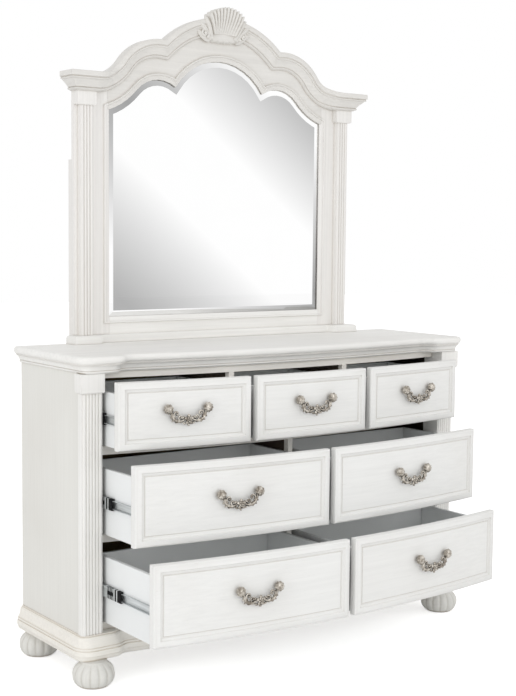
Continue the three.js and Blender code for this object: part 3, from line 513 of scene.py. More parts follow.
def mesh_object(name, build, crease=None):
    """New object from build, which fills a bmesh, shaded with that crease."""
    mesh = bpy.data.meshes.new(name)
    work = bmesh.new()
    build(work)
    bmesh.ops.remove_doubles(work, verts=work.verts, dist=1e-6)
    bmesh.ops.recalc_face_normals(work, faces=work.faces)
    work.normal_update()
    shade(work, crease)
    work.to_mesh(mesh)
    work.free()
    return add_object(name, mesh)


def stands_for(piece, node, body, material):
    piece.data.materials.append(material)
    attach(piece, body)
    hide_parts(node)


def grid(work, rows, caps=True):
    """Faces over rows of points, each row a ring, with a cap on the first and last row."""
    made = [[work.verts.new(point) for point in row] for row in rows]
    count = len(rows[0])
    for first, second in zip(made, made[1:]):
        for i in range(count):
            j = (i + 1) % count
            work.faces.new((first[i], first[j], second[j], second[i]))
    if caps:
        work.faces.new(list(reversed(made[0])))
        work.faces.new(made[-1])
    return made


# Degrees: faces of a node that count as one plane, and edges of it that stay sharp
PLANE_ANGLE, NODE_CREASE = 0.4, 27


def finished(node, body, material):
    """A piece with the node's shape, shaded smooth between its real edges, that stands for the node."""
    work = bmesh.new()
    work.from_mesh(nodes[node].data)
    bmesh.ops.remove_doubles(work, verts=work.verts, dist=1e-5)
    plane = math.radians(PLANE_ANGLE)
    bmesh.ops.dissolve_limit(work, angle_limit=plane, verts=work.verts, edges=work.edges)
    bmesh.ops.triangulate(work, faces=work.faces, quad_method="BEAUTY", ngon_method="BEAUTY")
    shade(work, NODE_CREASE)
    mesh = bpy.data.meshes.new(f"{node}_finished")
    work.to_mesh(mesh)
    work.free()
    for name in ("custom_normal", "normal"):
        if name in mesh.attributes:
            mesh.attributes.remove(mesh.attributes[name])
    stands_for(add_object(f"{node}_finished", mesh), node, body, material)


finished("crest_rail", "case", wood_x)
for name in ("pilaster_left", "pilaster_right"):
    finished(name, "case", wood_z)
for name in ("stile_left", "stile_right", "support_left", "support_right"):
    finished(name, "case", wood_post)
finished("bottom_rail", "case", wood_rail)
finished("face_frame", "case", frame_wood)
for drawer in DRAWERS:
    finished(drawer + "_front", drawer + "_drawer", wood_front)


def interpolate(table, at):
    """Value at a place in a table of places and values."""
    for (a, u), (b, v) in zip(table, table[1:]):
        if at <= b:
            return u + (v - u) * (at - a) / (b - a)
    return table[-1][1]


# Gadrooned feet: radius in metres by share of the height, how deep the grooves are at that height, and
# the scale that keeps the lobes within the box of the solid
FOOT_OUTLINE = [
    (0.0, 0.049), (0.06, 0.0555), (0.16, 0.0632), (0.3, 0.0683), (0.46, 0.0698), (0.62, 0.0672),
    (0.76, 0.0602), (0.86, 0.0505), (0.91, 0.0445), (0.94, 0.0432), (1.0, 0.0438),
]
FOOT_GROOVE = [(0.0, 0.2), (0.1, 0.7), (0.3, 1.0), (0.7, 1.0), (0.85, 0.7), (0.93, 0.12), (1.0, 0.0)]
GROOVE_DEPTH, FOOT_SCALE = 0.0042, 0.9955
FOOT_LOBES, LOBE_STEPS, FOOT_RINGS = 14, 8, 30


def foot_piece(node):
    low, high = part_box(node)
    centre = (low + high) / 2
    height = high.z - low.z
    steps = FOOT_LOBES * LOBE_STEPS

    def build(work):
        rows = []
        for ring in range(FOOT_RINGS + 1):
            rise = ring / FOOT_RINGS
            radius = interpolate(FOOT_OUTLINE, rise) * FOOT_SCALE
            depth = GROOVE_DEPTH * interpolate(FOOT_GROOVE, rise)
            row = []
            for step in range(steps):
                angle = 2 * math.pi * step / steps
                swell = abs(math.sin(FOOT_LOBES * angle / 2)) ** 0.55
                reach = radius - depth * (1 - swell)
                row.append((centre.x + reach * math.cos(angle), centre.y + reach * math.sin(angle),
                            low.z + height * rise))
            rows.append(row)
        grid(work, rows)

    stands_for(mesh_object(f"{node}_turned", build), node, "case", wood_foot)


for name in ("foot_front_left", "foot_front_right", "foot_back_left", "foot_back_right"):
    foot_piece(name)


# Rounded forms of the carving and the pulls
def tube(work, points, radii, sides, twist=0.0, ridge=0.0):
    """Rod along points. ridge is the height of its four ridges as a share of the radius."""
    rows = []
    count = len(points)
    for i, point in enumerate(points):
        before, after = points[max(i - 1, 0)], points[min(i + 1, count - 1)]
        ahead = (Vector(after) - Vector(before)).normalized()
        across = ahead.cross(Vector((0, 1, 0))).normalized()
        out = across.cross(ahead).normalized()
        row = []
        for k in range(sides):
            angle = 2 * math.pi * k / sides
            reach = radii[i] * (1 + ridge * math.cos(4 * angle + twist * i))
            row.append(Vector(point) + across * reach * math.cos(angle) + out * reach * math.sin(angle))
        rows.append(row)
    grid(work, rows)


def blob(work, centre, radii, turn, flutes, depth, segments, rings, swirl=0.0):
    """Rounded lump with its pole to the front, its rim cut by flutes to a share depth of its radius."""
    rows = []
    for ring in range(1, rings):
        polar = math.pi * ring / rings
        row = []
        for k in range(segments):
            angle = 2 * math.pi * k / segments
            wave = 0.5 + 0.5 * math.cos(flutes * angle + swirl * polar)
            reach = math.sin(polar) * (1 - depth * wave * math.sin(polar))
            local = Vector((radii[0] * reach * math.cos(angle), -radii[1] * math.cos(polar),
                            radii[2] * reach * math.sin(angle)))
            local.rotate(Matrix.Rotation(turn, 3, "Y"))
            row.append(Vector(centre) + local)
        rows.append(row)
    made = grid(work, rows, caps=False)
    for row, sign in ((made[0], -1), (made[-1], 1)):
        pole = work.verts.new(Vector(centre) + Vector((0, sign * radii[1], 0)))
        for k in range(len(row)):
            pair = (row[k], row[(k + 1) % len(row)])
            work.faces.new((pole, pair[1], pair[0]) if sign < 0 else (pole, *pair))


def sampled(points, steps):
    """Points along a smooth curve through the given ones, each a tuple of numbers."""
    out = []
    for i in range(len(points) - 1):
        p0, p1 = points[max(i - 1, 0)], points[i]
        p2, p3 = points[i + 1], points[min(i + 2, len(points) - 1)]
        for k in range(steps):
            t = k / steps
            out.append(tuple(
                0.5 * (2 * b + (c - a) * t + (2 * a - 5 * b + 4 * c - d) * t * t
                       + (3 * b - a - 3 * c + d) * t ** 3)
                for a, b, c, d in zip(p0, p1, p2, p3)))
    out.append(tuple(points[-1]))
    return out


# Pulls: fluted knobs, leaf scrolls, a swag and a rose, mirrored to each side. Metres about the point midway
# between the knobs, on the face of the front
STAND = -0.0175
KNOB_X, KNOB, BOSS_OUT, BOSS = 0.070, (0.0172, 0.0130, 0.0172), 0.0112, (0.0062, 0.0038, 0.0062)
# Post behind the knob: Y and radius
POST = [(STAND + 0.002, 0.0062), (-0.008, 0.0066), (-0.0006, 0.0095)]
# Arm: across, up and half thickness, from the knob to the rose
ARM = [
    (0.0610, -0.0060, 0.0042), (0.0600, -0.0150, 0.0046), (0.0572, -0.0240, 0.0050),
    (0.0520, -0.0322, 0.0054), (0.0435, -0.0384, 0.0054), (0.0335, -0.0402, 0.0050),
    (0.0240, -0.0388, 0.0044), (0.0130, -0.0350, 0.0036),
]
# Curls, inside the knob and beside the rose: centre, start in degrees, turns, radius, bead, half thickness
CURLS = [
    ((0.0430, -0.0170), -62, 1.0, 0.0125, 0.0026, 0.0038),
    ((0.0285, -0.0290), -100, 1.0, 0.0105, 0.0022, 0.0032),
]
CURL_STEPS, CURL_OUT, BEAD_OUT = 26, 0.001, 0.0048
# Leaf tips along the outside of the arm: across, up, tilt and size, and their half thickness
LEAF_TIPS = [
    (0.0622, -0.0265, 1.15, 0.0050), (0.0550, -0.0370, 0.72, 0.0058),
    (0.0425, -0.0436, 0.22, 0.0058), (0.0300, -0.0446, -0.1, 0.0048),
]
LEAF_TIP_OUT = 0.0042
# Rose: number, reach and size of the petals of each ring, how far its first ring and the next stand out,
# its bud, then across, up and tilt of the leaves beside it, and the drop below
ROSE_Z, ROSE_OUT, RING_OUT, PETAL_OUT = -0.0355, 0.0026, 0.0024, 0.0044
PETALS = [(5, 0.0108, 0.0078), (5, 0.0058, 0.0056)]
BUD_OUT, BUD = 0.0075, (0.0038, 0.0034, 0.0038)
ROSE_LEAVES = [(0.0205, -0.0290, 0.5), (0.0225, -0.0385, 0.1), (0.0165, -0.0465, -0.5)]
ROSE_LEAF, DROP_Z, DROP = (0.0088, 0.0040, 0.0042), -0.0515, (0.0050, 0.0038, 0.0066)


def scroll(work, centre, start, turns, reach, bead, width, side):
    """A leaf tip that winds in on itself and ends in a bead."""
    path, widths = [], []
    stand = STAND - CURL_OUT
    for i in range(CURL_STEPS + 1):
        share = i / CURL_STEPS
        angle = math.radians(start) + turns * 2 * math.pi * share
        radius = reach + (bead - reach) * share ** 0.8
        x, z = centre[0] + radius * math.cos(angle), centre[1] + radius * math.sin(angle)
        path.append((side * x, stand, z))
        widths.append(width * (1 - 0.45 * share))
    tube(work, path, widths, 10)
    blob(work, (side * centre[0], stand, centre[1]), (bead * 1.5, BEAD_OUT, bead * 1.5), 0, 0, 0, 16, 8)


def pull_geometry(work):
    for side in (-1, 1):
        x = side * KNOB_X
        blob(work, (x, STAND, 0), KNOB, 0.2, 9, 0.17, 54, 16, side * 1.5)
        blob(work, (x, STAND - BOSS_OUT, 0), BOSS, 0, 6, 0.22, 24, 8)
        tube(work, [(x, y, 0) for y, _ in POST], [radius for _, radius in POST], 16)
        arm = sampled([(side * u, STAND, v, w) for u, v, w in ARM], 6)
        tube(work, [p[:3] for p in arm], [p[3] for p in arm], 12, 0.35, 0.13)
        for curl in CURLS:
            scroll(work, *curl, side)
        for u, v, tilt, size in LEAF_TIPS:
            radii = (size, LEAF_TIP_OUT, size * 0.52)
            blob(work, (side * u, STAND, v), radii, side * tilt, 3, 0.25, 20, 8)
    for ring, (count, reach, size) in enumerate(PETALS):
        for k in range(count):
            angle = 2 * math.pi * (k + 0.5 * ring) / count + math.pi / 2
            centre = (reach * math.cos(angle), STAND - ROSE_OUT - RING_OUT * ring,
                      ROSE_Z + reach * math.sin(angle))
            blob(work, centre, (size, PETAL_OUT, size * 0.78), -angle, 2, 0.12, 18, 8)
    blob(work, (0, STAND - BUD_OUT, ROSE_Z), BUD, 0, 5, 0.2, 20, 8)
    for side in (-1, 1):
        for u, v, tilt in ROSE_LEAVES:
            blob(work, (side * u, STAND, v), ROSE_LEAF, side * tilt, 3, 0.25, 20, 8)
    blob(work, (0, STAND, DROP_Z), DROP, 0, 4, 0.2, 20, 8)


def bow_rise(x, radius, half):
    """How far a bow of that radius stands forward at x of its ends at half."""
    return math.sqrt(radius ** 2 - x ** 2) - math.sqrt(radius ** 2 - half ** 2)


# Bow of the fronts in metres, depth of a front's field behind its raised edge, and height of the knobs
# above the middle of the front
BOW_RADIUS, BOW_HALF = 4.0, 0.728
FIELD_DEPTH, KNOB_RISE = 0.0066, 0.019
for drawer in DRAWERS:
    node = drawer + "_handle"
    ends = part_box(node)
    middle = (ends[0].x + ends[1].x) / 2
    piece = mesh_object(f"{drawer}_pull", pull_geometry)
    # a front stands furthest forward at its end nearest the middle of the case
    low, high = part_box(drawer + "_front")
    inner = min(abs(low.x), abs(high.x)) if drawer != "top_middle" else 0
    rise = bow_rise(middle, BOW_RADIUS, BOW_HALF)
    y = low.y + bow_rise(inner, BOW_RADIUS, BOW_HALF) - rise + FIELD_DEPTH
    z = (low.z + high.z) / 2 + KNOB_RISE
    turn = math.asin(middle / BOW_RADIUS)
    piece.data.transform(Matrix.Translation((middle, y, z)) @ Matrix.Rotation(turn, 4, "Z"))
    stands_for(piece, node, drawer + "_drawer", pewter)


# Places in millimetres, with the middle of the case as their Y datum
def mm(x, y, z):
    return Vector((x / 1000, y / 1000 + DATUM_Y, z / 1000))


def arc_points(centre, start, end, steps):
    """Points on a circle about centre from start to end, the short way round."""
    radius = math.hypot(start[0] - centre[0], start[1] - centre[1])
    first = math.atan2(start[1] - centre[1], start[0] - centre[0])
    turn = math.atan2(end[1] - centre[1], end[0] - centre[0]) - first
    turn = (turn + math.pi) % (2 * math.pi) - math.pi
    return [(centre[0] + radius * math.cos(first + turn * i / steps),
             centre[1] + radius * math.sin(first + turn * i / steps)) for i in range(steps + 1)]


def eased(share):
    """0 to 1 with a slow start and end."""
    share = min(max(share, 0.0), 1.0)
    return share * share * (3 - 2 * share)


# Crown moulding: one profile swept over the scallops, forward over the pilasters and back along the sides.
# Height of its ends, X, Z and radius of the arcs of the middle and side scallops, and radius of the hollow
# between a side scallop and the end
CROWN_TOP, ARCH, HUMP, HOLLOW_R = 1997, (0, 1868, 366), (275, 1943, 190), 130
# Y of the mirror frame's face and of its back, and the gap between pieces that are fixed together
FACE, BACK, GAP = 222, 240, 0.3
# Half width of the ends without the moulding, Y of the capitals, growth of the profile over them, and the X
# between which it steps forward
END_HALF, CAPITAL_FRONT, END_SCALE = 606.3, 195.5, 44 / 30
STEP_FROM, STEP_TO = 447, 531
# Depth of the crown below its edge, and of the part of it that laps over the crest rail to the back
CROWN_DROP, CROWN_LAP = 64.0, 12.0
ARCH_STEPS, HUMP_STEPS, HOLLOW_STEPS = 18, 26, 20


def crest_path():
    """Upper edge of the crown from the middle to the right-hand end, as pairs of X and Z."""
    reach = HUMP[2] + HOLLOW_R
    hollow_z = CROWN_TOP + HOLLOW_R
    hollow = (HUMP[0] + math.sqrt(reach ** 2 - (hollow_z - HUMP[1]) ** 2), hollow_z)
    gap = math.hypot(HUMP[0], HUMP[1] - ARCH[1])
    along = (ARCH[2] ** 2 - HUMP[2] ** 2 + gap ** 2) / (2 * gap)
    away = math.sqrt(ARCH[2] ** 2 - along ** 2)
    unit = (HUMP[0] / gap, (HUMP[1] - ARCH[1]) / gap)
    cusp = (unit[0] * along - unit[1] * away, ARCH[1] + unit[1] * along + unit[0] * away)
    share = HUMP[2] / reach
    turn = (HUMP[0] + (hollow[0] - HUMP[0]) * share, HUMP[1] + (hollow[1] - HUMP[1]) * share)
    path = arc_points(ARCH[:2], (0, ARCH[1] + ARCH[2]), cusp, ARCH_STEPS)
    path += arc_points(HUMP[:2], cusp, turn, HUMP_STEPS)[1:]
    path += arc_points(hollow, turn, (hollow[0], CROWN_TOP), HOLLOW_STEPS)[1:]
    return path


# Profile of the crown: drop below its edge, and how far it stands out from the frame
CROWN_PROFILE = [
    (0.0, 27.0), (0.8, 29.0), (2.6, 30.0), (17.5, 30.0), (18.6, 29.2), (19.0, 27.2), (20.6, 26.6),
    (22.2, 27.2), (22.8, 28.0), (26.0, 27.6), (27.2, 26.4), (27.6, 23.6), (30.0, 22.6), (35.0, 19.4),
    (41.0, 14.6), (46.0, 11.6), (50.5, 9.6), (52.4, 9.2), (53.0, 7.4), (54.4, 7.6), (56.2, 9.6),
    (58.6, 9.8), (60.6, 8.2), (61.6, 5.6), (62.2, 4.0), (CROWN_DROP, 3.6),
]


def path_normals(path):
    """Downward normals of the crown's edge, long enough at a corner to keep both sides parallel."""
    normals = []
    for i, point in enumerate(path):
        before = path[i - 1] if i else (-path[1][0], path[1][1])
        after = path[i + 1] if i + 1 < len(path) else (point[0] + 1, point[1])
        sides = []
        for a, b in ((before, point), (point, after)):
            size = math.hypot(b[0] - a[0], b[1] - a[1])
            sides.append(((b[1] - a[1]) / size, -(b[0] - a[0]) / size))
        joined = (sides[0][0] + sides[1][0], sides[0][1] + sides[1][1])
        size = joined[0] * sides[0][0] + joined[1] * sides[0][1]
        normals.append((joined[0] / size, joined[1] / size))
    return normals


def crown_build(work):
    def ring(point, normal):
        row = []
        for drop, out in CROWN_PROFILE:
            x = point[0] + normal[0] * drop
            step = eased((x - STEP_FROM) / (STEP_TO - STEP_FROM))
            y = (FACE - out) * (1 - step) + (CAPITAL_FRONT - out * END_SCALE) * step
            row.append(mm(x, y, point[1] + normal[1] * drop))
        for drop, y in ((CROWN_DROP, FACE - GAP), (CROWN_LAP, FACE - GAP), (CROWN_LAP, BACK), (0.0, BACK)):
            row.append(mm(point[0] + normal[0] * drop, y, point[1] + normal[1] * drop))
        return row

    path = crest_path()
    rows = [ring(point, normal) for point, normal in zip(path, path_normals(path))]
    # mitred corner, then the return along the side to the back
    for at_back in (False, True):
        row = []
        for drop, out in CROWN_PROFILE:
            y = BACK if at_back else CAPITAL_FRONT - out * END_SCALE
            row.append(mm(END_HALF + out * END_SCALE, y, CROWN_TOP - drop))
        for drop, x, y in ((CROWN_DROP, END_HALF, FACE - GAP), (CROWN_LAP, END_HALF, FACE - GAP),
                           (CROWN_LAP, END_HALF - 1, BACK), (0.0, END_HALF - 1, BACK)):
            row.append(mm(x, BACK if at_back else y, CROWN_TOP - drop))
        rows.append(row)
    flipped = [[Vector((-p.x, p.y, p.z)) for p in row] for row in reversed(rows[1:])]
    grid(work, flipped + rows)


stands_for(mesh_object("crown_swept", crown_build, 34), "crown_moulding", "case", wood_x)


# Boards swept round the plan of the case: half width of the case and of its opening, Y of the rails at the
# pilasters, radius of the bow, and how far a board with no reach stands out from the rails
CASE_HALF, OPEN_HALF, RAIL_FRONT, BOW_MM, RAIL_LAP = 799.5, 728, -159, 4000, 6
# X where the face of a corner block ends and where its curve meets the bow, and the corners' own radius
BLOCK_END, BOW_END, CORNER = OPEN_HALF - 26, OPEN_HALF - 84, 16
CORNER_STEPS, CURVE_STEPS, BOW_STEPS = 9, 12, 24


def plan_outline(front_line, reach, growth):
    """Plan of a board that reaches out from the case. front_line is the Y of its corner blocks."""
    side, front = CASE_HALF + reach, front_line - reach
    block_end, recess = BLOCK_END - reach / 2, BOW_END - reach / 2

    def bow(x):
        return RAIL_FRONT - bow_rise(x, BOW_MM, OPEN_HALF) - RAIL_LAP - reach

    radius = CORNER + reach * growth
    half = [(side, BACK)]
    half += [(side - radius + radius * math.cos(a), front + radius - radius * math.sin(a))
             for a in (math.pi / 2 * k / CORNER_STEPS for k in range(CORNER_STEPS + 1))]
    run = (recess - block_end) / 2
    handles = ((block_end, front), (block_end + run, front), (recess - run, bow(recess)),
               (recess, bow(recess)))
    for k in range(CURVE_STEPS + 1):
        t = k / CURVE_STEPS
        weights = ((1 - t) ** 3, 3 * t * (1 - t) ** 2, 3 * t * t * (1 - t), t ** 3)
        half.append(tuple(sum(w * p[axis] for w, p in zip(weights, handles)) for axis in (0, 1)))
    for k in range(1, BOW_STEPS + 1):
        x = recess * (1 - k / BOW_STEPS)
        half.append((x, bow(x)))
    return half + [(-x, y) for x, y in reversed(half[:-1])]


def moulded(front_line, growth, profile, well=None, well_top=None):
    """Build for a board with a profile of heights and reaches.

    Its corners get rounder by growth as it reaches out. well is the outline of a hollow from below, up to
    well_top.
    """
    def ring(work, outline, z):
        return [work.verts.new(mm(x, y, z)) for x, y in outline]

    def fill(work, *loops):
        edges = [work.edges.get(pair) or work.edges.new(pair)
                 for loop in loops for pair in zip(loop, loop[1:] + loop[:1])]
        bmesh.ops.triangle_fill(work, use_beauty=True, edges=edges)

    def build(work):
        rows = [[mm(x, y, z) for x, y in plan_outline(front_line, reach, growth)] for z, reach in profile]
        made = grid(work, rows, caps=False)
        if well is None:
            fill(work, made[0])
            fill(work, made[-1])
            return
        low, high = ring(work, well, profile[-1][0]), ring(work, well, well_top)
        for i in range(len(well)):
            j = (i + 1) % len(well)
            work.faces.new((low[i], low[j], high[j], high[i]))
        fill(work, made[-1], low)
        if well_top == profile[0][0]:
            fill(work, made[0], high)
        else:
            fill(work, high)
            fill(work, made[0])
    return build


def board(name, node, build, crease, material):
    stands_for(mesh_object(name, build, crease), node, "case", material)


# Base board: ogee, cove, bead and band. Heights, and reaches as shares of BASE_REACH
BASE_FRONT, BASE_REACH, BASE_GROWTH = -200, 22, 1.8
BASE_PROFILE = [
    (165.0, 0.10), (162.6, 0.12), (161.8, 0.06), (160.4, 0.10), (159.6, 0.30), (157.0, 0.40),
    (152.0, 0.45), (147.0, 0.47), (141.0, 0.52), (136.0, 0.62), (131.5, 0.76), (128.8, 0.84),
    (127.6, 0.85), (126.8, 0.81), (125.8, 0.80), (124.8, 0.92), (122.4, 0.97), (119.8, 0.95),
    (118.4, 0.88), (117.6, 0.86), (116.6, 0.87), (116.0, 0.97), (113.0, 1.0), (103.0, 1.0),
    (100.6, 0.99), (99.6, 0.94), (98.6, 0.90), (93.0, 0.84), (88.0, 0.74), (85.0, 0.66), (84.0, 0.60),
]
# Hollow of the base, with its corners cut for the pads of the feet
WELL_X, WELL_FRONT, WELL_BACK, WELL_CUT, WELL_TOP = 753.5, -154, 194, 118, 147
base_well = [(sx * (WELL_X - cx), WELL_FRONT + cy) for sx, cx, cy in
             ((-1, 0, WELL_CUT), (-1, WELL_CUT, 0), (1, WELL_CUT, 0), (1, 0, WELL_CUT))]
base_well += [(x, WELL_BACK - (y - WELL_FRONT)) for x, y in reversed(base_well)]
base_lines = [(z, BASE_REACH * share) for z, share in BASE_PROFILE]
board("base_moulded", "base_board",
      moulded(BASE_FRONT, BASE_GROWTH, base_lines, base_well, WELL_TOP), 30, glazed)

# Top board and cornice: heights and reaches. The cornice is open inside, up to its top
TOP_FRONT, TOP_GROWTH = -214, 1.1
TOP_PROFILE = [
    (1064.0, 15.5), (1063.7, 19.0), (1062.6, 22.2), (1060.6, 24.8), (1057.8, 26.8), (1054.4, 27.8),
    (1050.6, 28.0), (1047.0, 27.4), (1044.0, 26.0), (1041.6, 24.0), (1040.2, 22.2), (1039.8, 20.6),
    (1037.3, 20.6),
]
CORNICE_TOP, CORNICE_INSET = 1037.0, 60
CORNICE_PROFILE = [
    (CORNICE_TOP, 19.0), (1034.6, 19.0), (1034.1, 17.4), (1032.9, 17.4), (1032.4, 16.0), (1030.0, 12.8),
    (1026.5, 10.2), (1022.0, 8.2), (1018.0, 7.0), (1017.5, 5.4), (1016.6, 5.4), (1015.6, 7.0),
    (1013.6, 7.9), (1011.6, 7.2), (1010.4, 5.6), (1009.8, 4.2), (1008.3, 3.6),
]
hole_x, hole_front = CASE_HALF - CORNICE_INSET, BASE_FRONT + CORNICE_INSET
hole_back = BACK - CORNICE_INSET
hole = [(-hole_x, hole_front), (hole_x, hole_front), (hole_x, hole_back), (-hole_x, hole_back)]
board("top_moulded", "top_board", moulded(TOP_FRONT, TOP_GROWTH, TOP_PROFILE), 34, wood_top)
board("cornice_moulded", "cornice_moulding",
      moulded(TOP_FRONT, TOP_GROWTH, CORNICE_PROFILE, hole, CORNICE_TOP), 30, wood_cornice)


# Shell: ribs fanned from a rolled collar, with curling leaves at each side
RIBS, RIB_STEPS, RIB_LEVELS = 11, 10, 14
FAN_SPREAD, FAN_REACH, FAN_Z = math.radians(39.5), 126.8, 2142
FAN_FOOT_HALF, FAN_FOOT_Z = 47, 2170
# Collar: rise and how far it stands out, its half width, height and steps
COLLAR = [
    (-2, GAP), (0, 13), (1.5, 17), (4, 20.5), (7, 22), (10, 21.5), (14, 20), (19, 19.5), (25, 20),
    (31, 21), (36, 20.5), (38, GAP),
]
COLLAR_HALF, COLLAR_Z, COLLAR_STEPS = 66, 2145, 40
# Leaves: across, up, out and half thickness
LEAVES = [
    [(50, 2156, 15, 9), (60, 2180, 20, 10.5), (71, 2204, 26, 10), (83, 2222, 29, 7), (92, 2227, 30, 2.5)],
    [(56, 2152, 12, 9), (71, 2174, 15, 10.5), (88, 2193, 22, 10), (102, 2204, 26, 6.5),
     (111, 2204, 28, 2.5)],
    [(58, 2149, 10, 7), (78, 2157, 11, 9), (97, 2171, 13, 9), (111, 2180, 17, 6), (118, 2177, 18, 2.5)],
]
VOLUTE_X, VOLUTE_Z, VOLUTE_STEPS, VOLUTE_EYE = 84, 2173, 36, (0.0062, 0.0052, 0.0062)


def shell_fan(work):
    """Ribs from the collar out to the rim, with turn from -1 to 1 across the fan."""
    rows = []
    for u in range(RIBS * RIB_STEPS + 1):
        phase = u / RIB_STEPS
        turn = -1 + 2 * u / (RIBS * RIB_STEPS)
        swell = abs(math.sin(math.pi * phase))
        angle = math.pi / 2 - FAN_SPREAD * turn
        reach = FAN_REACH - 3.5 * turn * turn - 9.0 * (1 - swell ** 0.8)
        rim = (reach * math.cos(angle), FAN_Z + reach * math.sin(angle))
        foot = (FAN_FOOT_HALF * turn, FAN_FOOT_Z + 4 * (1 - turn * turn))
        row = []
        for level in range(RIB_LEVELS + 1):
            share = level / RIB_LEVELS
            x = foot[0] + (rim[0] - foot[0]) * share
            z = foot[1] + (rim[1] - foot[1]) * share
            rib = (1.5 + 7.5 * eased(share * 1.5)) * swell ** 0.6
            flare = 20 + 12 * turn * turn + (28 - 20 * turn * turn) * share ** 0.8
            row.append(mm(x, FACE - flare - rib + 3 * eased((share - 0.88) / 0.12), z))
        row.append(mm(rim[0], FACE - GAP, rim[1]))
        row.append(mm(foot[0], FACE - GAP, foot[1]))
        rows.append(row)
    grid(work, rows)


def shell_collar(work):
    """A rolled lip that sags in the middle, with a hollow band above it."""
    rows = []
    for k in range(COLLAR_STEPS + 1):
        t = -1 + k / (COLLAR_STEPS / 2)
        low = COLLAR_Z + 5 * t * t + 1.3 * math.cos(5 * math.pi * t)
        fall = 0.4 + 0.6 * math.sqrt(max(0.0, 1 - abs(t) ** 12))
        rows.append([mm(COLLAR_HALF * t, FACE - GAP - (out - GAP) * fall, low + rise * (1 - 0.12 * t * t))
                     for rise, out in COLLAR])
    grid(work, rows)


def shell_side(work, side):
    """Leaves and volute to one side of the shell."""
    for leaf in LEAVES:
        line = [mm(side * x, FACE - out, z)[:] + (half / 1000,) for x, z, out, half in leaf]
        line = sampled(line, 7)
        tube(work, [p[:3] for p in line], [p[3] for p in line], 14, 0.0, 0.1)
    points, radii = [], []
    for i in range(VOLUTE_STEPS + 1):
        share = i / VOLUTE_STEPS
        angle = math.radians(-60 + 430 * share)
        radius = 15 * (1 - share) ** 0.8 + 3.5
        x, z = VOLUTE_X - radius * math.cos(angle), VOLUTE_Z + radius * math.sin(angle)
        points.append(mm(side * x, FACE - 19 - 4 * share, z))
        radii.append(0.0066 - 0.003 * share)
    tube(work, points, radii, 12)
    blob(work, mm(side * VOLUTE_X, FACE - 25, VOLUTE_Z), VOLUTE_EYE, 0, 0, 0, 18, 8)


def shell_build(work):
    shell_fan(work)
    shell_collar(work)
    for side in (-1, 1):
        shell_side(work, side)


stands_for(mesh_object("shell_palmette", shell_build, 48), "shell_carving", "case", wood_carved)


# Floor, world and lamps. The floor glows less for what the mirror and the metal see, so that floor and
# world are equally white there, and the world is dimmer for the light it gives than where it is seen
FLOOR_HALF, FLOOR_DROP, FLOOR_GREY = 20, 0.0005, 0.9
FLOOR_GLOW, FLOOR_GLOW_REFLECTED = 0.6, 0.27
WORLD_LIGHT, WORLD_SEEN = 0.78, 1.0
# Name, place, aim, size and watts. Only the first lamp is seen in the mirror and the metal
LAMPS = [
    ("key", (-1.2, -5.6, 2.6), (0, 0, 0.9), (3.0, 2.6), 42),
    ("low", (0.6, -5.4, 0.75), (0, 0, 1.0), (3.4, 1.2), 12),
    ("side", (-5.2, -1.6, 1.9), (-0.3, 0, 0.9), (2.6, 2.4), 44),
    ("fill", (4.6, -2.8, 2.4), (0.2, 0, 1.0), (2.4, 2.4), 14),
]


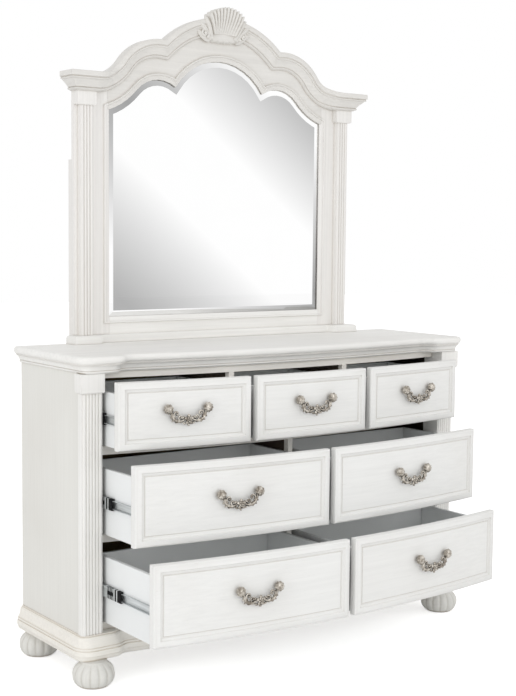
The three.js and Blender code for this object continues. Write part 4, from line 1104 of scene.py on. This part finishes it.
def make_stage():
    work = bmesh.new()
    bmesh.ops.create_grid(work, x_segments=2, y_segments=2, size=FLOOR_HALF)
    mesh = bpy.data.meshes.new("floor")
    work.to_mesh(mesh)
    work.free()
    floor = add_object("floor", mesh)
    floor.location.z = -FLOOR_DROP
    material = bpy.data.materials.new("floor")
    material.use_nodes = True
    tree = material.node_tree
    tree.nodes.clear()
    out = tree.nodes.new("ShaderNodeOutputMaterial")
    diffuse = tree.nodes.new("ShaderNodeBsdfDiffuse")
    diffuse.inputs["Color"].default_value = (FLOOR_GREY, FLOOR_GREY, FLOOR_GREY, 1)
    glow = tree.nodes.new("ShaderNodeEmission")
    total = tree.nodes.new("ShaderNodeAddShader")
    tree.links.new(seen_rays(tree, FLOOR_GLOW, FLOOR_GLOW_REFLECTED), glow.inputs["Strength"])
    tree.links.new(diffuse.outputs[0], total.inputs[0])
    tree.links.new(glow.outputs[0], total.inputs[1])
    tree.links.new(total.outputs[0], out.inputs["Surface"])
    mesh.materials.append(material)


def seen_rays(tree, seen=1.0, reflected=1.0):
    """The value seen for camera and transmission rays, reflected for glossy rays, and 0 for others."""
    path = tree.nodes.new("ShaderNodeLightPath")
    levels = (("Is Camera Ray", seen), ("Is Transmission Ray", seen), ("Is Glossy Ray", reflected))
    value = None
    for ray, level in levels:
        scaled = tree.nodes.new("ShaderNodeMath")
        scaled.operation = "MULTIPLY"
        scaled.inputs[1].default_value = level
        tree.links.new(path.outputs[ray], scaled.inputs[0])
        if value is None:
            value = scaled.outputs[0]
            continue
        larger = tree.nodes.new("ShaderNodeMath")
        larger.operation = "MAXIMUM"
        tree.links.new(value, larger.inputs[0])
        tree.links.new(scaled.outputs[0], larger.inputs[1])
        value = larger.outputs[0]
    return value


def make_world():
    world = bpy.data.worlds.new("world")
    scene.world = world
    world.use_nodes = True
    tree = world.node_tree
    background = tree.nodes["Background"]
    background.inputs["Color"].default_value = (1, 1, 1, 1)
    level = tree.nodes.new("ShaderNodeMapRange")
    level.inputs["To Min"].default_value = WORLD_LIGHT
    level.inputs["To Max"].default_value = WORLD_SEEN
    tree.links.new(seen_rays(tree), level.inputs["Value"])
    tree.links.new(level.outputs[0], background.inputs["Strength"])


def lamp(name, place, aim, size, watts):
    data = bpy.data.lights.new(name, "AREA")
    data.shape = "RECTANGLE"
    data.size, data.size_y = size
    data.energy = watts
    light = add_object(name, data)
    light.location = place
    light.rotation_euler = (Vector(aim) - Vector(place)).to_track_quat("-Z", "Y").to_euler()
    return light


make_stage()
make_world()
for row in LAMPS:
    lamp(*row).visible_glossy = row is LAMPS[0]
